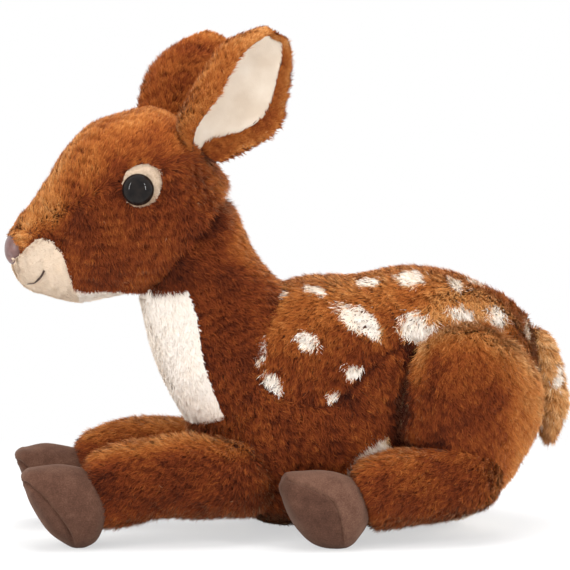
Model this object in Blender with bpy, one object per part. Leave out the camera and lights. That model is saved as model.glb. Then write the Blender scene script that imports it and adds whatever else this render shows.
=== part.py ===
"""A plush fawn lying on its belly, in metres, +Z up.

The fawn faces -X and its left side is towards -Y. Each stuffed piece is a loft: oval rings
along a straight spine, from a short table of shares of the piece's own length, height and
width. The panels of one bag are cut from one hollow loft, as the cloth is cut and sewn edge
to edge. The origin is the middle of the whole toy's box, on the surface that it lies on.
"""
import math

import bmesh
import bpy
import numpy as np
from mathutils import Matrix, Vector

# Clearances and cloth
SEAM_GAP = 0.0003
FILL_GAP = 0.0009
CLOTH = 0.004
OVERRUN = 0.03
WELD = 0.000002

# Body bag: its spine runs from the chest to the rump, at half height
TORSO_LENGTH = 0.211
TORSO_HEIGHT = 0.156
TORSO_WIDTH = 0.110
TORSO_CAP_SHARES = (0.22, 0.22)
TORSO_SHARES = (
    (0.00, 0.270, -0.420, 0.39),
    (0.15, 0.370, -0.475, 0.455),
    (0.30, 0.460, -0.500, 0.49),
    (0.45, 0.478, -0.503, 0.50),
    (0.60, 0.500, -0.503, 0.472),
    (0.72, 0.494, -0.503, 0.444),
    (0.84, 0.453, -0.470, 0.426),
    (1.00, 0.480, -0.250, 0.400),
)
SADDLE_BORDER_SHARES = (
    (0.16, 1.10), (0.17, 0.90), (0.165, 0.75), (0.17, 0.65), (0.22, 0.56), (0.275, 0.54),
    (0.33, 0.515), (0.39, 0.53), (0.435, 0.60), (0.485, 0.70), (0.555, 0.725), (0.665, 0.705),
    (0.775, 0.72), (0.885, 0.69), (1.10, 0.67),
)
BELLY_BORDER_SHARES = (
    (-0.10, 0.40), (0.06, 0.36), (0.11, 0.22), (0.20, 0.12), (0.32, 0.16), (0.43, 0.31),
    (0.54, 0.37), (0.66, 0.36), (0.80, 0.22), (1.10, 0.14),
)

# Pouch of pellets, low in the belly
POUCH_LENGTH = 0.085
POUCH_WIDTH = 0.062
POUCH_HEIGHT = 0.040
POUCH_PLACE_SHARES = (0.50, 0.12)

# Neck: its spine rises from the shoulders and leans back; up is towards the back
NECK_LENGTH = 0.148
NECK_DEPTH = 0.107
NECK_WIDTH = 0.094
NECK_LEAN = math.radians(22)
NECK_FOOT_SHARES = (0.243, 0.424)
NECK_CAP_SHARES = (0.12, 0.15)
NECK_SHARES = (
    (0.00, 0.470, -0.410, 0.47),
    (0.13, 0.477, -0.467, 0.48),
    (0.26, 0.458, -0.495, 0.465),
    (0.39, 0.410, -0.500, 0.43),
    (0.52, 0.336, -0.477, 0.393),
    (0.65, 0.270, -0.444, 0.362),
    (0.78, 0.262, -0.400, 0.347),
    (0.91, 0.262, -0.355, 0.337),
    (1.00, 0.243, -0.318, 0.316),
)
BIB_BORDER_SHARES = (
    (-0.15, -0.25), (0.05, -0.255), (0.12, -0.28), (0.22, -0.285), (0.32, -0.28), (0.43, -0.235),
    (0.52, -0.205), (0.62, -0.20), (0.80, -0.20), (1.10, -0.20),
)

# Head: its spine runs from the nape to the nose and slopes down
HEAD_LENGTH = 0.132
HEAD_HEIGHT = 0.110
HEAD_WIDTH = 0.090
HEAD_SLOPE = math.radians(14.6)
HEAD_START_SHARES = (0.203, -0.073)
HEAD_CAP_SHARES = (0.22, 0.10)
HEAD_SHARES = (
    (0.00, 0.564, -0.310, 0.42),
    (0.28, 0.610, -0.380, 0.478),
    (0.38, 0.614, -0.380, 0.50),
    (0.48, 0.600, -0.368, 0.494),
    (0.57, 0.545, -0.364, 0.467),
    (0.645, 0.482, -0.355, 0.422),
    (0.74, 0.373, -0.332, 0.344),
    (0.82, 0.290, -0.286, 0.289),
    (0.905, 0.232, -0.227, 0.25),
    (1.00, 0.182, -0.200, 0.222),
)
NECKLINE_SHARES = ((0.655, -0.444), (0.944, 0.241))
MUZZLE_BORDER_SHARES = (
    (1.25, -0.10), (1.10, -0.10), (0.99, -0.075), (0.935, -0.035), (0.87, 0.02), (0.81, 0.042),
    (0.762, 0.0), (0.74, -0.08), (0.731, -0.17), (0.735, -0.25), (0.775, -0.33), (0.80, -0.60),
)
CHIN_BORDER_SHARES = (
    (0.10, -0.43), (0.295, -0.394), (0.471, -0.339), (0.589, -0.303), (0.686, -0.275),
    (0.738, -0.235), (0.80, -0.19), (1.10, -0.10),
)

# Eyes with their washers
EYE_WIDTH = 0.0182
EYE_BULGE = 0.0068
EYE_STEM = 0.0050
EYE_STEM_LENGTH = 0.0120
EYE_ALONG_SHARE = 0.380
EYE_ANGLE = math.radians(8.5)
EYE_SINK_SHARE = 0.18
EYE_RIM_SHARE = 0.94
WASHER_WIDTH = 0.016
WASHER_THICKNESS = 0.0018
EYE_PATCH_LENGTH = 0.0235
EYE_PATCH_HEIGHT = 0.0245
EYE_PATCH_OFFSET_SHARES = (0.14, 0.11)
EYE_PATCH_SQUARE = 3

# Nose and mouth
NOSE_DEPTH = 0.0155
NOSE_WIDTH = 0.025
NOSE_HEIGHT = 0.0185
NOSE_STEM = 0.0050
NOSE_STEM_LENGTH = 0.0150
NOSE_PLACE_SHARES = (0.926, 0.037)
NOSE_WASHER_SHARE = 0.70
MOUTH_THREAD = 0.0013
MOUTH_ALONG_SHARES = (0.856, 0.874, 0.906, 0.945, 0.972)
MOUTH_DEGREES = (-19, -27, -38.5, -52, -90)

# Ears
EAR_LENGTH = 0.082
EAR_WIDTH = 0.058
EAR_THICKNESS = 0.0065
LINING_THICKNESS = 0.0016
EAR_FOOT_SHARES = {"left": (0.069, 0.291), "right": (0.205, 0.278)}
EAR_SPREAD_SHARE = 0.245
EAR_LEANS = {"left": math.radians(27.5), "right": math.radians(21)}
EAR_SPLAY = math.radians(9)
EAR_OUTLINE_SHARES = (
    (0.00, -0.14, 0.20),
    (0.14, -0.28, 0.37),
    (0.29, -0.31, 0.53),
    (0.44, -0.30, 0.59),
    (0.60, -0.28, 0.53),
    (0.74, -0.25, 0.45),
    (0.88, -0.12, 0.35),
    (1.00, 0.04, 0.21),
)
EAR_PROFILE_SHARES = (
    (0.00, -0.42, 0.46),
    (0.12, -0.66, 0.49),
    (0.24, -0.90, 0.35),
    (0.35, -1.00, 0.09),
    (0.50, -0.74, -0.14),
    (0.65, -0.22, -0.24),
    (0.80, 0.34, -0.17),
    (1.00, 1.00, 0.08),
)
EAR_ROW_SHARES = (0, 0.07, 0.17, 0.29, 0.41, 0.53, 0.65, 0.77, 0.87, 0.94, 1)
EAR_COLUMN_SHARES = (0, 0.06, 0.12, 0.18, 0.25, 0.32, 0.40, 0.48, 0.57, 0.66, 0.75, 0.83, 0.90,
                     0.95, 1)
LINING_ROWS = (1, -1)
LINING_COLUMNS = (5, -2)
EAR_HINGE_SHARES = (0.17, -0.05)

# Forelegs: their spines run from the shoulders to the wrists
FORELEG_LENGTH = 0.1185
FORELEG_HEIGHT = 0.054
FORELEG_WIDTH = 0.050
FORELEG_DROP = math.radians(4.4)
FORELEG_SPLAY = math.radians(3)
FORELEG_ROOT_SHARES = (0.24, 0.322, 0.249)
FORELEG_HINGE_SHARES = (0.237, 0.50)
FORELEG_CAP_SHARES = (0.15, 0.10)
FORELEG_SHARES = (
    (0.00, 0.36, -0.50, 0.36),
    (0.13, 0.46, -0.48, 0.43),
    (0.27, 0.51, -0.45, 0.475),
    (0.44, 0.575, -0.425, 0.48),
    (0.61, 0.59, -0.39, 0.455),
    (0.78, 0.56, -0.41, 0.43),
    (0.90, 0.50, -0.42, 0.41),
    (1.00, 0.42, -0.40, 0.38),
)

# Fore hooves: their spines are level and run from the tip to the heel
FORE_HOOF_LENGTH = 0.051
FORE_HOOF_HEIGHT = 0.045
FORE_HOOF_WIDTH = 0.039
FORE_HOOF_LEVEL_SHARE = 0.541
FORE_HOOF_TIP_SHARE = 0.61
FORE_HOOF_CAP_SHARES = (0.10, 0.22)
FORE_HOOF_SHARES = (
    (0.00, 0.455, 0.290, 0.32),
    (0.12, 0.467, -0.010, 0.41),
    (0.24, 0.490, -0.260, 0.46),
    (0.47, 0.500, -0.490, 0.50),
    (0.64, 0.467, -0.552, 0.50),
    (0.84, 0.378, -0.444, 0.47),
    (1.00, 0.222, -0.222, 0.39),
)

# Thighs: their spines are level and run from front to back
THIGH_LENGTH = 0.096
THIGH_HEIGHT = 0.112
THIGH_WIDTH = 0.078
THIGH_PLACE_SHARES = (0.521, 0.345, 0.474)
THIGH_HINGE_SHARES = (0.06, 0.50)
THIGH_CAP_SHARES = (0.40, 0.45)
THIGH_SHARES = (
    (0.00, 0.365, -0.31, 0.41),
    (0.25, 0.460, -0.44, 0.475),
    (0.50, 0.500, -0.50, 0.49),
    (0.75, 0.460, -0.44, 0.46),
    (1.00, 0.365, -0.29, 0.385),
)

# Shanks: their spines run from the pasterns back and up to the hocks
SHANK_LENGTH = 0.098
SHANK_HEIGHT = 0.052
SHANK_WIDTH = 0.044
SHANK_RISE = math.radians(11.8)
SHANK_TOE_IN = math.radians(4)
SHANK_PLACE_SHARES = (-0.25, 0.31, 0.577)
SHANK_CAP_SHARES = (0.10, 0.22)
SHANK_SHARES = (
    (0.00, 0.380, -0.50, 0.43),
    (0.18, 0.430, -0.53, 0.48),
    (0.35, 0.420, -0.55, 0.50),
    (0.59, 0.385, -0.575, 0.50),
    (0.79, 0.385, -0.555, 0.48),
    (0.94, 0.370, -0.42, 0.44),
    (1.00, 0.350, -0.31, 0.41),
)

# Hind hooves: their spines are level and run from the tip to the heel
HIND_HOOF_LENGTH = 0.052
HIND_HOOF_HEIGHT = 0.044
HIND_HOOF_WIDTH = 0.040
HIND_HOOF_LEVEL_SHARE = 0.501
HIND_HOOF_PASTERN_SHARE = 0.77
HIND_HOOF_CAP_SHARES = (0.10, 0.20)
HIND_HOOF_SHARES = (
    (0.00, 0.410, 0.180, 0.30),
    (0.13, 0.477, -0.136, 0.40),
    (0.27, 0.490, -0.352, 0.45),
    (0.50, 0.490, -0.512, 0.50),
    (0.72, 0.430, -0.512, 0.50),
    (0.88, 0.340, -0.386, 0.45),
    (1.00, 0.227, -0.227, 0.38),
)

# Tail: its spine hangs down behind the rump; up is towards the back
TAIL_LENGTH = 0.0747
TAIL_DEPTH = 0.026
TAIL_WIDTH = 0.040
TAIL_HANG = math.radians(7.7)
TAIL_ROOT_SHARES = (0.972, 0.763)
TAIL_CAP_SHARES = (0.12, 0.25)
TAIL_SHARES = (
    (0.00, 0.385, -0.31, 0.30),
    (0.20, 0.540, -0.35, 0.40),
    (0.45, 0.650, -0.31, 0.475),
    (0.65, 0.650, -0.27, 0.50),
    (0.85, 0.460, -0.19, 0.40),
    (1.00, 0.310, -0.115, 0.25),
)
TAIL_LINING_SHARE = -0.12
TAIL_HINGE_SHARES = (0.0, 0.10)

# How far the forelegs lift, for the room that the neck gives them
FORELEG_LIFT = math.radians(15)
FORELEG_LIFT_STEPS = 3

# Roundness of the rings, 2 is an ellipse
TORSO_SQUARE = 2.4
LIMB_SQUARE = 2.2

SIDES = {"left": -1, "right": 1}

# How finely each form is cut: sides of a ring and rings along the spine
TORSO_FACETS = (24, 18)
NECK_FACETS = (20, 12)
HEAD_FACETS = (24, 16)
LEG_FACETS = (16, 11)
THIGH_FACETS = (18, 11)
HOOF_FACETS = (16, 9)
TAIL_FACETS = (14, 9)
FILL_FACETS = (12, 9)
ROUND_SIDES = 20
STEM_SIDES = 12
THREAD_SIDES = 6
THREAD_STEPS = 2

COLOURS = {
    "brown_plush": ((0.30, 0.10, 0.032), 0.95),
    "cream_plush": ((0.78, 0.66, 0.55), 0.95),
    "spotted_plush": ((0.42, 0.20, 0.09), 0.95),
    "suede": ((0.15, 0.085, 0.06), 0.90),
    "velour": ((0.80, 0.68, 0.54), 0.90),
    "black_gloss": ((0.008, 0.007, 0.007), 0.10),
    "brown_plastic": ((0.22, 0.12, 0.11), 0.35),
    "thread": ((0.05, 0.03, 0.025), 0.80),
    "white_plastic": ((0.75, 0.75, 0.73), 0.50),
    "fibre": ((0.85, 0.84, 0.82), 1.00),
    "lawn": ((0.70, 0.68, 0.62), 0.90),
}


def flowing(table, places):
    """Columns of a table of rows, read at the places on smooth curves through the rows."""
    rows = np.array(table, dtype=float)
    places = np.atleast_1d(np.asarray(places, dtype=float))
    knots = rows[:, 0]
    slopes = np.gradient(rows[:, 1:], knots, axis=0)
    left = np.clip(np.searchsorted(knots, places, side="right") - 1, 0, len(knots) - 2)
    step = knots[left + 1] - knots[left]
    share = np.clip((places - knots[left]) / step, 0, 1)[:, None]
    step = step[:, None]
    start = (1 + 2 * share) * (1 - share) ** 2 * rows[left, 1:]
    start_slope = share * (1 - share) ** 2 * step * slopes[left]
    end = share ** 2 * (3 - 2 * share) * rows[left + 1, 1:]
    end_slope = share ** 2 * (share - 1) * step * slopes[left + 1]
    return (start + start_slope + end + end_slope).T


def rounding(places, caps):
    """Share of the full ring size: a quarter oval at each end of the spine."""
    front = np.clip(1 - places / caps[0], 0, 1)
    rear = np.clip(1 - (1 - places) / caps[1], 0, 1)
    return np.sqrt(1 - front ** 2) * np.sqrt(1 - rear ** 2)


class Form:
    """A stuffed shape: oval rings along a straight spine, sized by a table of shares."""

    def __init__(self, start, forward, up, sizes, rows, caps, square=LIMB_SQUARE):
        self.start = np.array(start, dtype=float)
        self.forward = np.array(forward, dtype=float)
        self.forward /= np.linalg.norm(self.forward)
        self.side = np.cross(np.array(up, dtype=float), self.forward)
        self.side /= np.linalg.norm(self.side)
        self.up = np.cross(self.forward, self.side)
        self.length, self.height, self.width = sizes
        self.rows, self.caps, self.square = rows, caps, square

    def point(self, along, angle, inset=0):
        """Points of the skin at shares along the spine and angles from the side to the top."""
        along, angle = np.broadcast_arrays(np.asarray(along, float), np.asarray(angle, float))
        flat = along.ravel()
        top, bottom, half = flowing(self.rows, flat)
        round_off = rounding(flat, self.caps)
        middle = (top + bottom) / 2 * self.height
        rise = ((top - bottom) / 2 * self.height - inset) * round_off
        half = (half * self.width - inset) * round_off
        reach = inset + (self.length - 2 * inset) * flat
        cosine, sine = np.cos(angle.ravel()), np.sin(angle.ravel())
        across = half * np.sign(cosine) * np.abs(cosine) ** (2 / self.square)
        high = middle + rise * np.sign(sine) * np.abs(sine) ** (2 / self.square)
        place = (self.start + np.outer(reach, self.forward) + np.outer(across, self.side)
                 + np.outer(high, self.up))
        return place.reshape(along.shape + (3,))

    def at(self, along, high):
        """A point in the middle plane: a share along the spine and a share of the height up."""
        return self.start + self.forward * self.length * along + self.up * self.height * high

    def normal(self, along, angle):
        """The outward direction of the skin at one place."""
        small = 0.01
        down_spine = self.point(along + small, angle) - self.point(along - small, angle)
        round_ring = self.point(along, angle + small) - self.point(along, angle - small)
        direction = np.cross(round_ring, down_spine)
        outward = self.point(along, angle) - self.at(along, 0)
        direction *= np.sign(np.dot(direction, outward))
        return direction / np.linalg.norm(direction)

    def solid(self, name, sides, rings, inset=0):
        """A closed mesh of the form, its ends drawn together into one point each."""
        steps = np.linspace(0, math.pi, rings + 2)[1:-1]
        along = (1 - np.cos(steps)) / 2
        angles = np.linspace(0, 2 * math.pi, sides, endpoint=False)
        skin = self.point(along[:, None], angles[None, :], inset).reshape(-1, 3)
        ends = self.point(np.array([0.0, 1.0]), np.array([0.0, 0.0]), inset)
        faces = []
        for ring in range(rings - 1):
            for side in range(sides):
                other = (side + 1) % sides
                faces.append((ring * sides + side, ring * sides + other,
                              (ring + 1) * sides + other, (ring + 1) * sides + side))
        first, last = rings * sides, rings * sides + 1
        for side in range(sides):
            other = (side + 1) % sides
            faces.append((first, other, side))
            faces.append((last, (rings - 1) * sides + side, (rings - 1) * sides + other))
        return mesh_object(name, np.vstack([skin, ends]), faces)


def mesh_object(name, points, faces):
    """A mesh object with its faces turned outwards."""
    mesh = bpy.data.meshes.new(name)
    mesh.from_pydata([tuple(point) for point in points], [], faces)
    shape = bmesh.new()
    shape.from_mesh(mesh)
    bmesh.ops.recalc_face_normals(shape, faces=shape.faces)
    shape.to_mesh(mesh)
    shape.free()
    solid = bpy.data.objects.new(name, mesh)
    bpy.context.collection.objects.link(solid)
    return solid


def combine(solid, tools, operation="DIFFERENCE"):
    """Cut, join or meet a solid with one or more tools, and use the tools up."""
    for tool in tools:
        step = solid.modifiers.new("with " + tool.name, "BOOLEAN")
        step.operation = operation
        step.solver = "EXACT"
        step.object = tool
        graph = bpy.context.evaluated_depsgraph_get()
        result = bpy.data.meshes.new_from_object(solid.evaluated_get(graph))
        solid.modifiers.clear()
        solid.data = result
        bpy.data.objects.remove(tool)
        shape = bmesh.new()
        shape.from_mesh(result)
        bmesh.ops.remove_doubles(shape, verts=shape.verts, dist=WELD)
        shape.to_mesh(result)
        shape.free()
    return solid


def slab(name, outline, near, far):
    """A prism along Y between two planes, from an outline of (x, z) points."""
    count = len(outline)
    points = [(x, near, z) for x, z in outline] + [(x, far, z) for x, z in outline]
    faces = [tuple(range(count)), tuple(range(2 * count - 1, count - 1, -1))]
    for place in range(count):
        other = (place + 1) % count
        faces.append((place, other, count + other, count + place))
    return mesh_object(name, points, faces)


def bordered(name, border, corners, shift, steps=2):
    """A prism across the toy behind a smooth border, which is shifted to its left by shift."""
    points = np.array(border, dtype=float)
    table = np.column_stack([np.arange(len(points)), points])
    places = np.linspace(0, len(points) - 1, (len(points) - 1) * steps + 1)
    curve = flowing(table, places).T
    heading = np.gradient(curve, axis=0)
    heading /= np.linalg.norm(heading, axis=1)[:, None]
    curve = curve + np.column_stack([-heading[:, 1], heading[:, 0]]) * shift
    reach = TORSO_WIDTH
    return slab(name, list(map(tuple, curve)) + list(corners), -reach, reach)


def turned(name, profile, place, axis, sides):
    """A turned solid: (radius, height) points revolved about an axis through a place."""
    axis = Vector(axis).normalized()
    turn = axis.to_track_quat("Z", "Y").to_matrix()
    angles = np.linspace(0, 2 * math.pi, sides, endpoint=False)
    closed_ring = profile[0][0] > 0
    points, loops = [], []
    for radius, height in profile:
        if radius == 0:
            loops.append([len(points)] * sides)
            points.append((0, 0, height))
        else:
            loops.append(list(range(len(points), len(points) + sides)))
            points += [(radius * math.cos(a), radius * math.sin(a), height) for a in angles]
    if closed_ring:
        loops.append(loops[0])
    faces = []
    for low, high in zip(loops, loops[1:]):
        for side in range(sides):
            other = (side + 1) % sides
            face = [low[side], low[other], high[other], high[side]]
            faces.append(tuple(dict.fromkeys(face)))
    placed = [tuple(turn @ Vector(point) + Vector(place)) for point in points]
    return mesh_object(name, placed, faces)


def oval(name, place, radii, sides, rings, grow=0):
    """An ellipsoid standing square to the axes."""
    solid = turned(name, [(math.sin(a), -math.cos(a)) if 0 < a < math.pi else (0, -math.cos(a))
                          for a in np.linspace(0, math.pi, rings + 1)], (0, 0, 0), (0, 0, 1), sides)
    scale = Matrix.Diagonal([radius + grow for radius in radii]).to_4x4()
    solid.data.transform(Matrix.Translation(Vector(place)) @ scale)
    return solid


def torso_form():
    """The body bag, lying along X with its underside just under the floor."""
    start = (0, 0, TORSO_HEIGHT / 2)
    sizes = (TORSO_LENGTH, TORSO_HEIGHT, TORSO_WIDTH)
    return Form(start, (1, 0, 0), (0, 0, 1), sizes, TORSO_SHARES, TORSO_CAP_SHARES, TORSO_SQUARE)


def torso_place(along, high):
    """An (x, z) point from shares of the body's length and height."""
    return along * TORSO_LENGTH, high * TORSO_HEIGHT


def neck_form():
    """The neck, leaning towards the head, with its up direction at the back."""
    x, z = torso_place(*NECK_FOOT_SHARES)
    forward = (-math.sin(NECK_LEAN), 0, math.cos(NECK_LEAN))
    up = (math.cos(NECK_LEAN), 0, math.sin(NECK_LEAN))
    sizes = (NECK_LENGTH, NECK_DEPTH, NECK_WIDTH)
    return Form((x, 0, z), forward, up, sizes, NECK_SHARES, NECK_CAP_SHARES)


def head_form(neck):
    """The head, carried on the top end of the neck's spine."""
    top = neck.at(1, 0)
    start = top + np.array([HEAD_START_SHARES[0], 0, HEAD_START_SHARES[1]]) * HEAD_LENGTH
    forward = (-math.cos(HEAD_SLOPE), 0, -math.sin(HEAD_SLOPE))
    up = (-math.sin(HEAD_SLOPE), 0, math.cos(HEAD_SLOPE))
    sizes = (HEAD_LENGTH, HEAD_HEIGHT, HEAD_WIDTH)
    return Form(start, forward, up, sizes, HEAD_SHARES, HEAD_CAP_SHARES)


def foreleg_form(side):
    """A foreleg, reaching forward from the shoulder."""
    along, across, high = FORELEG_ROOT_SHARES
    x, z = torso_place(along, high)
    start = (x, side * across * TORSO_WIDTH, z)
    forward = (-math.cos(FORELEG_DROP), side * math.sin(FORELEG_SPLAY), -math.sin(FORELEG_DROP))
    sizes = (FORELEG_LENGTH, FORELEG_HEIGHT, FORELEG_WIDTH)
    return Form(start, forward, (0, 0, 1), sizes, FORELEG_SHARES, FORELEG_CAP_SHARES)


def fore_hoof_form(foreleg):
    """A fore hoof, level, round the wrist end of its leg."""
    wrist = foreleg.at(1, 0)
    x = wrist[0] - FORE_HOOF_LENGTH * FORE_HOOF_TIP_SHARE
    start = (x, wrist[1], FORE_HOOF_HEIGHT * FORE_HOOF_LEVEL_SHARE)
    sizes = (FORE_HOOF_LENGTH, FORE_HOOF_HEIGHT, FORE_HOOF_WIDTH)
    return Form(start, (1, 0, 0), (0, 0, 1), sizes, FORE_HOOF_SHARES, FORE_HOOF_CAP_SHARES)


def thigh_form(side):
    """A thigh, half sunk in the side of the body bag."""
    along, across, high = THIGH_PLACE_SHARES
    x, z = torso_place(along, high)
    start = (x, side * across * TORSO_WIDTH, z)
    sizes = (THIGH_LENGTH, THIGH_HEIGHT, THIGH_WIDTH)
    return Form(start, (1, 0, 0), (0, 0, 1), sizes, THIGH_SHARES, THIGH_CAP_SHARES)


def shank_form(side, thigh):
    """A shank, from the pastern in front to the hock under the thigh."""
    along, across, high = SHANK_PLACE_SHARES
    start = (thigh.start[0] + along * THIGH_LENGTH,
             thigh.start[1] + side * across * THIGH_WIDTH,
             high * SHANK_HEIGHT)
    forward = (math.cos(SHANK_RISE), -side * math.sin(SHANK_TOE_IN), math.sin(SHANK_RISE))
    sizes = (SHANK_LENGTH, SHANK_HEIGHT, SHANK_WIDTH)
    return Form(start, forward, (0, 0, 1), sizes, SHANK_SHARES, SHANK_CAP_SHARES)


def hind_hoof_form(shank):
    """A hind hoof, level, round the pastern end of its shank."""
    x = shank.start[0] - HIND_HOOF_LENGTH * HIND_HOOF_PASTERN_SHARE
    start = (x, shank.start[1], HIND_HOOF_HEIGHT * HIND_HOOF_LEVEL_SHARE)
    sizes = (HIND_HOOF_LENGTH, HIND_HOOF_HEIGHT, HIND_HOOF_WIDTH)
    return Form(start, (1, 0, 0), (0, 0, 1), sizes, HIND_HOOF_SHARES, HIND_HOOF_CAP_SHARES)


def tail_form():
    """The tail, hanging behind the rump, with its up direction at the back."""
    x, z = torso_place(*TAIL_ROOT_SHARES)
    forward = (math.sin(TAIL_HANG), 0, -math.cos(TAIL_HANG))
    up = (math.cos(TAIL_HANG), 0, math.sin(TAIL_HANG))
    sizes = (TAIL_LENGTH, TAIL_DEPTH, TAIL_WIDTH)
    return Form((x, 0, z), forward, up, sizes, TAIL_SHARES, TAIL_CAP_SHARES)


def stitched_tube(name, points, radius, sides):
    """A round tube with closed ends along a line of points."""
    heading = np.gradient(points, axis=0)
    heading /= np.linalg.norm(heading, axis=1)[:, None]
    across = np.cross(heading, (1, 0, 0))
    across /= np.linalg.norm(across, axis=1)[:, None]
    other_way = np.cross(heading, across)
    angles = np.linspace(0, 2 * math.pi, sides, endpoint=False)
    rings = (points[:, None] + radius * np.cos(angles)[None, :, None] * across[:, None]
             + radius * np.sin(angles)[None, :, None] * other_way[:, None])
    faces = [tuple(range(sides)), tuple(range((len(points) - 1) * sides, len(points) * sides))]
    for ring in range(len(points) - 1):
        for side in range(sides):
            other = (side + 1) % sides
            faces.append((ring * sides + side, ring * sides + other,
                          (ring + 1) * sides + other, (ring + 1) * sides + side))
    return mesh_object(name, rings.reshape(-1, 3), faces)


def cupped_sheet(name, middle, normal, face, back):
    """A closed sheet round a grid of points, from face in front of it to back behind it."""
    rows, columns = middle.shape[:2]
    front = (middle + normal * face).reshape(-1, 3)
    rear = (middle - normal * back).reshape(-1, 3)
    total = rows * columns
    faces = []
    for row in range(rows - 1):
        for column in range(columns - 1):
            corner = row * columns + column
            quad = (corner, corner + 1, corner + 1 + columns, corner + columns)
            faces.append(quad)
            faces.append(tuple(total + other for other in reversed(quad)))
    rim = list(range(columns))
    rim += [row * columns + columns - 1 for row in range(1, rows)]
    rim += [(rows - 1) * columns + column for column in range(columns - 2, -1, -1)]
    rim += [row * columns for row in range(rows - 2, 0, -1)]
    for corner, following in zip(rim, rim[1:] + rim[:1]):
        faces.append((corner, following, total + following, total + corner))
    return mesh_object(name, np.vstack([front, rear]), faces)


class Ear:
    """The curled surface between an ear's outer cloth and its lining."""

    def __init__(self, side, head):
        sign, lean = SIDES[side], EAR_LEANS[side]
        self.foot = head.at(*EAR_FOOT_SHARES[side])
        self.foot[1] = sign * EAR_SPREAD_SHARE * HEAD_WIDTH
        self.axis = np.array([math.sin(lean) * math.cos(EAR_SPLAY), sign * math.sin(EAR_SPLAY),
                              math.cos(lean) * math.cos(EAR_SPLAY)])
        self.across = np.array([math.cos(lean), 0, -math.sin(lean)])
        self.out = np.cross(self.axis, self.across)
        self.out *= sign * np.sign(self.out[1])

    def place(self, along, across):
        """Points at shares from foot to tip and from the rolled front edge to the rear edge."""
        along, across = np.broadcast_arrays(along, across)
        front, rear = flowing(EAR_OUTLINE_SHARES, along.ravel()) * EAR_WIDTH
        over, out = flowing(EAR_PROFILE_SHARES, across.ravel())
        half = (rear - front) / 2
        points = (self.foot + np.outer(along.ravel() * EAR_LENGTH, self.axis)
                  + np.outer((rear + front) / 2 + half * over, self.across)
                  + np.outer(half * out, self.out))
        return points.reshape(along.shape + (3,))

    def grid(self):
        """The surface's points on the rows and columns of the mesh, and its directions out."""
        along = np.array(EAR_ROW_SHARES)[:, None]
        across = np.array(EAR_COLUMN_SHARES)[None, :]
        small = 0.01
        up = self.place(along + small, across) - self.place(along - small, across)
        over = self.place(along, across + small) - self.place(along, across - small)
        normal = np.cross(up, over)
        normal /= np.linalg.norm(normal, axis=2)[:, :, None]
        rear_half = normal[:, len(EAR_COLUMN_SHARES) // 2:]
        return self.place(along, across), normal * np.sign((rear_half @ self.out).sum())

    def hinge(self):
        """A point on the line that the ear flops about, at the outer edge of its foot."""
        out, up = EAR_HINGE_SHARES
        return self.foot + self.out * out * EAR_WIDTH + self.axis * up * EAR_LENGTH


def half_plane(name, start, end, shift, depth):
    """A prism across the toy on the left of a line, its edge shifted to the left by shift."""
    start, end = np.array(start), np.array(end)
    heading = (end - start) / np.linalg.norm(end - start)
    left = np.array([-heading[1], heading[0]])
    near = (start - heading * depth + left * shift, end + heading * depth + left * shift)
    outline = [near[0], near[1], near[1] + left * depth, near[0] + left * depth]
    return slab(name, [tuple(point) for point in outline], -TORSO_WIDTH, TORSO_WIDTH)


def floor_slab():
    """Everything below the surface that the toy lies on."""
    return half_plane("floor", (TORSO_LENGTH, 0), (0, 0), 0, TORSO_LENGTH)


def flat(point):
    """The (x, z) of a point."""
    return point[0], point[2]


def grown(form, facets):
    """The form, larger by the clearance of a seam."""
    return form.solid("grown", *facets, inset=-SEAM_GAP)


def hollow_bag(form, name, facets):
    """The sewn cloth of a bag, with nothing in it."""
    return combine(form.solid(name, *facets), [form.solid("hollow", *facets, inset=CLOTH)])


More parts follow.
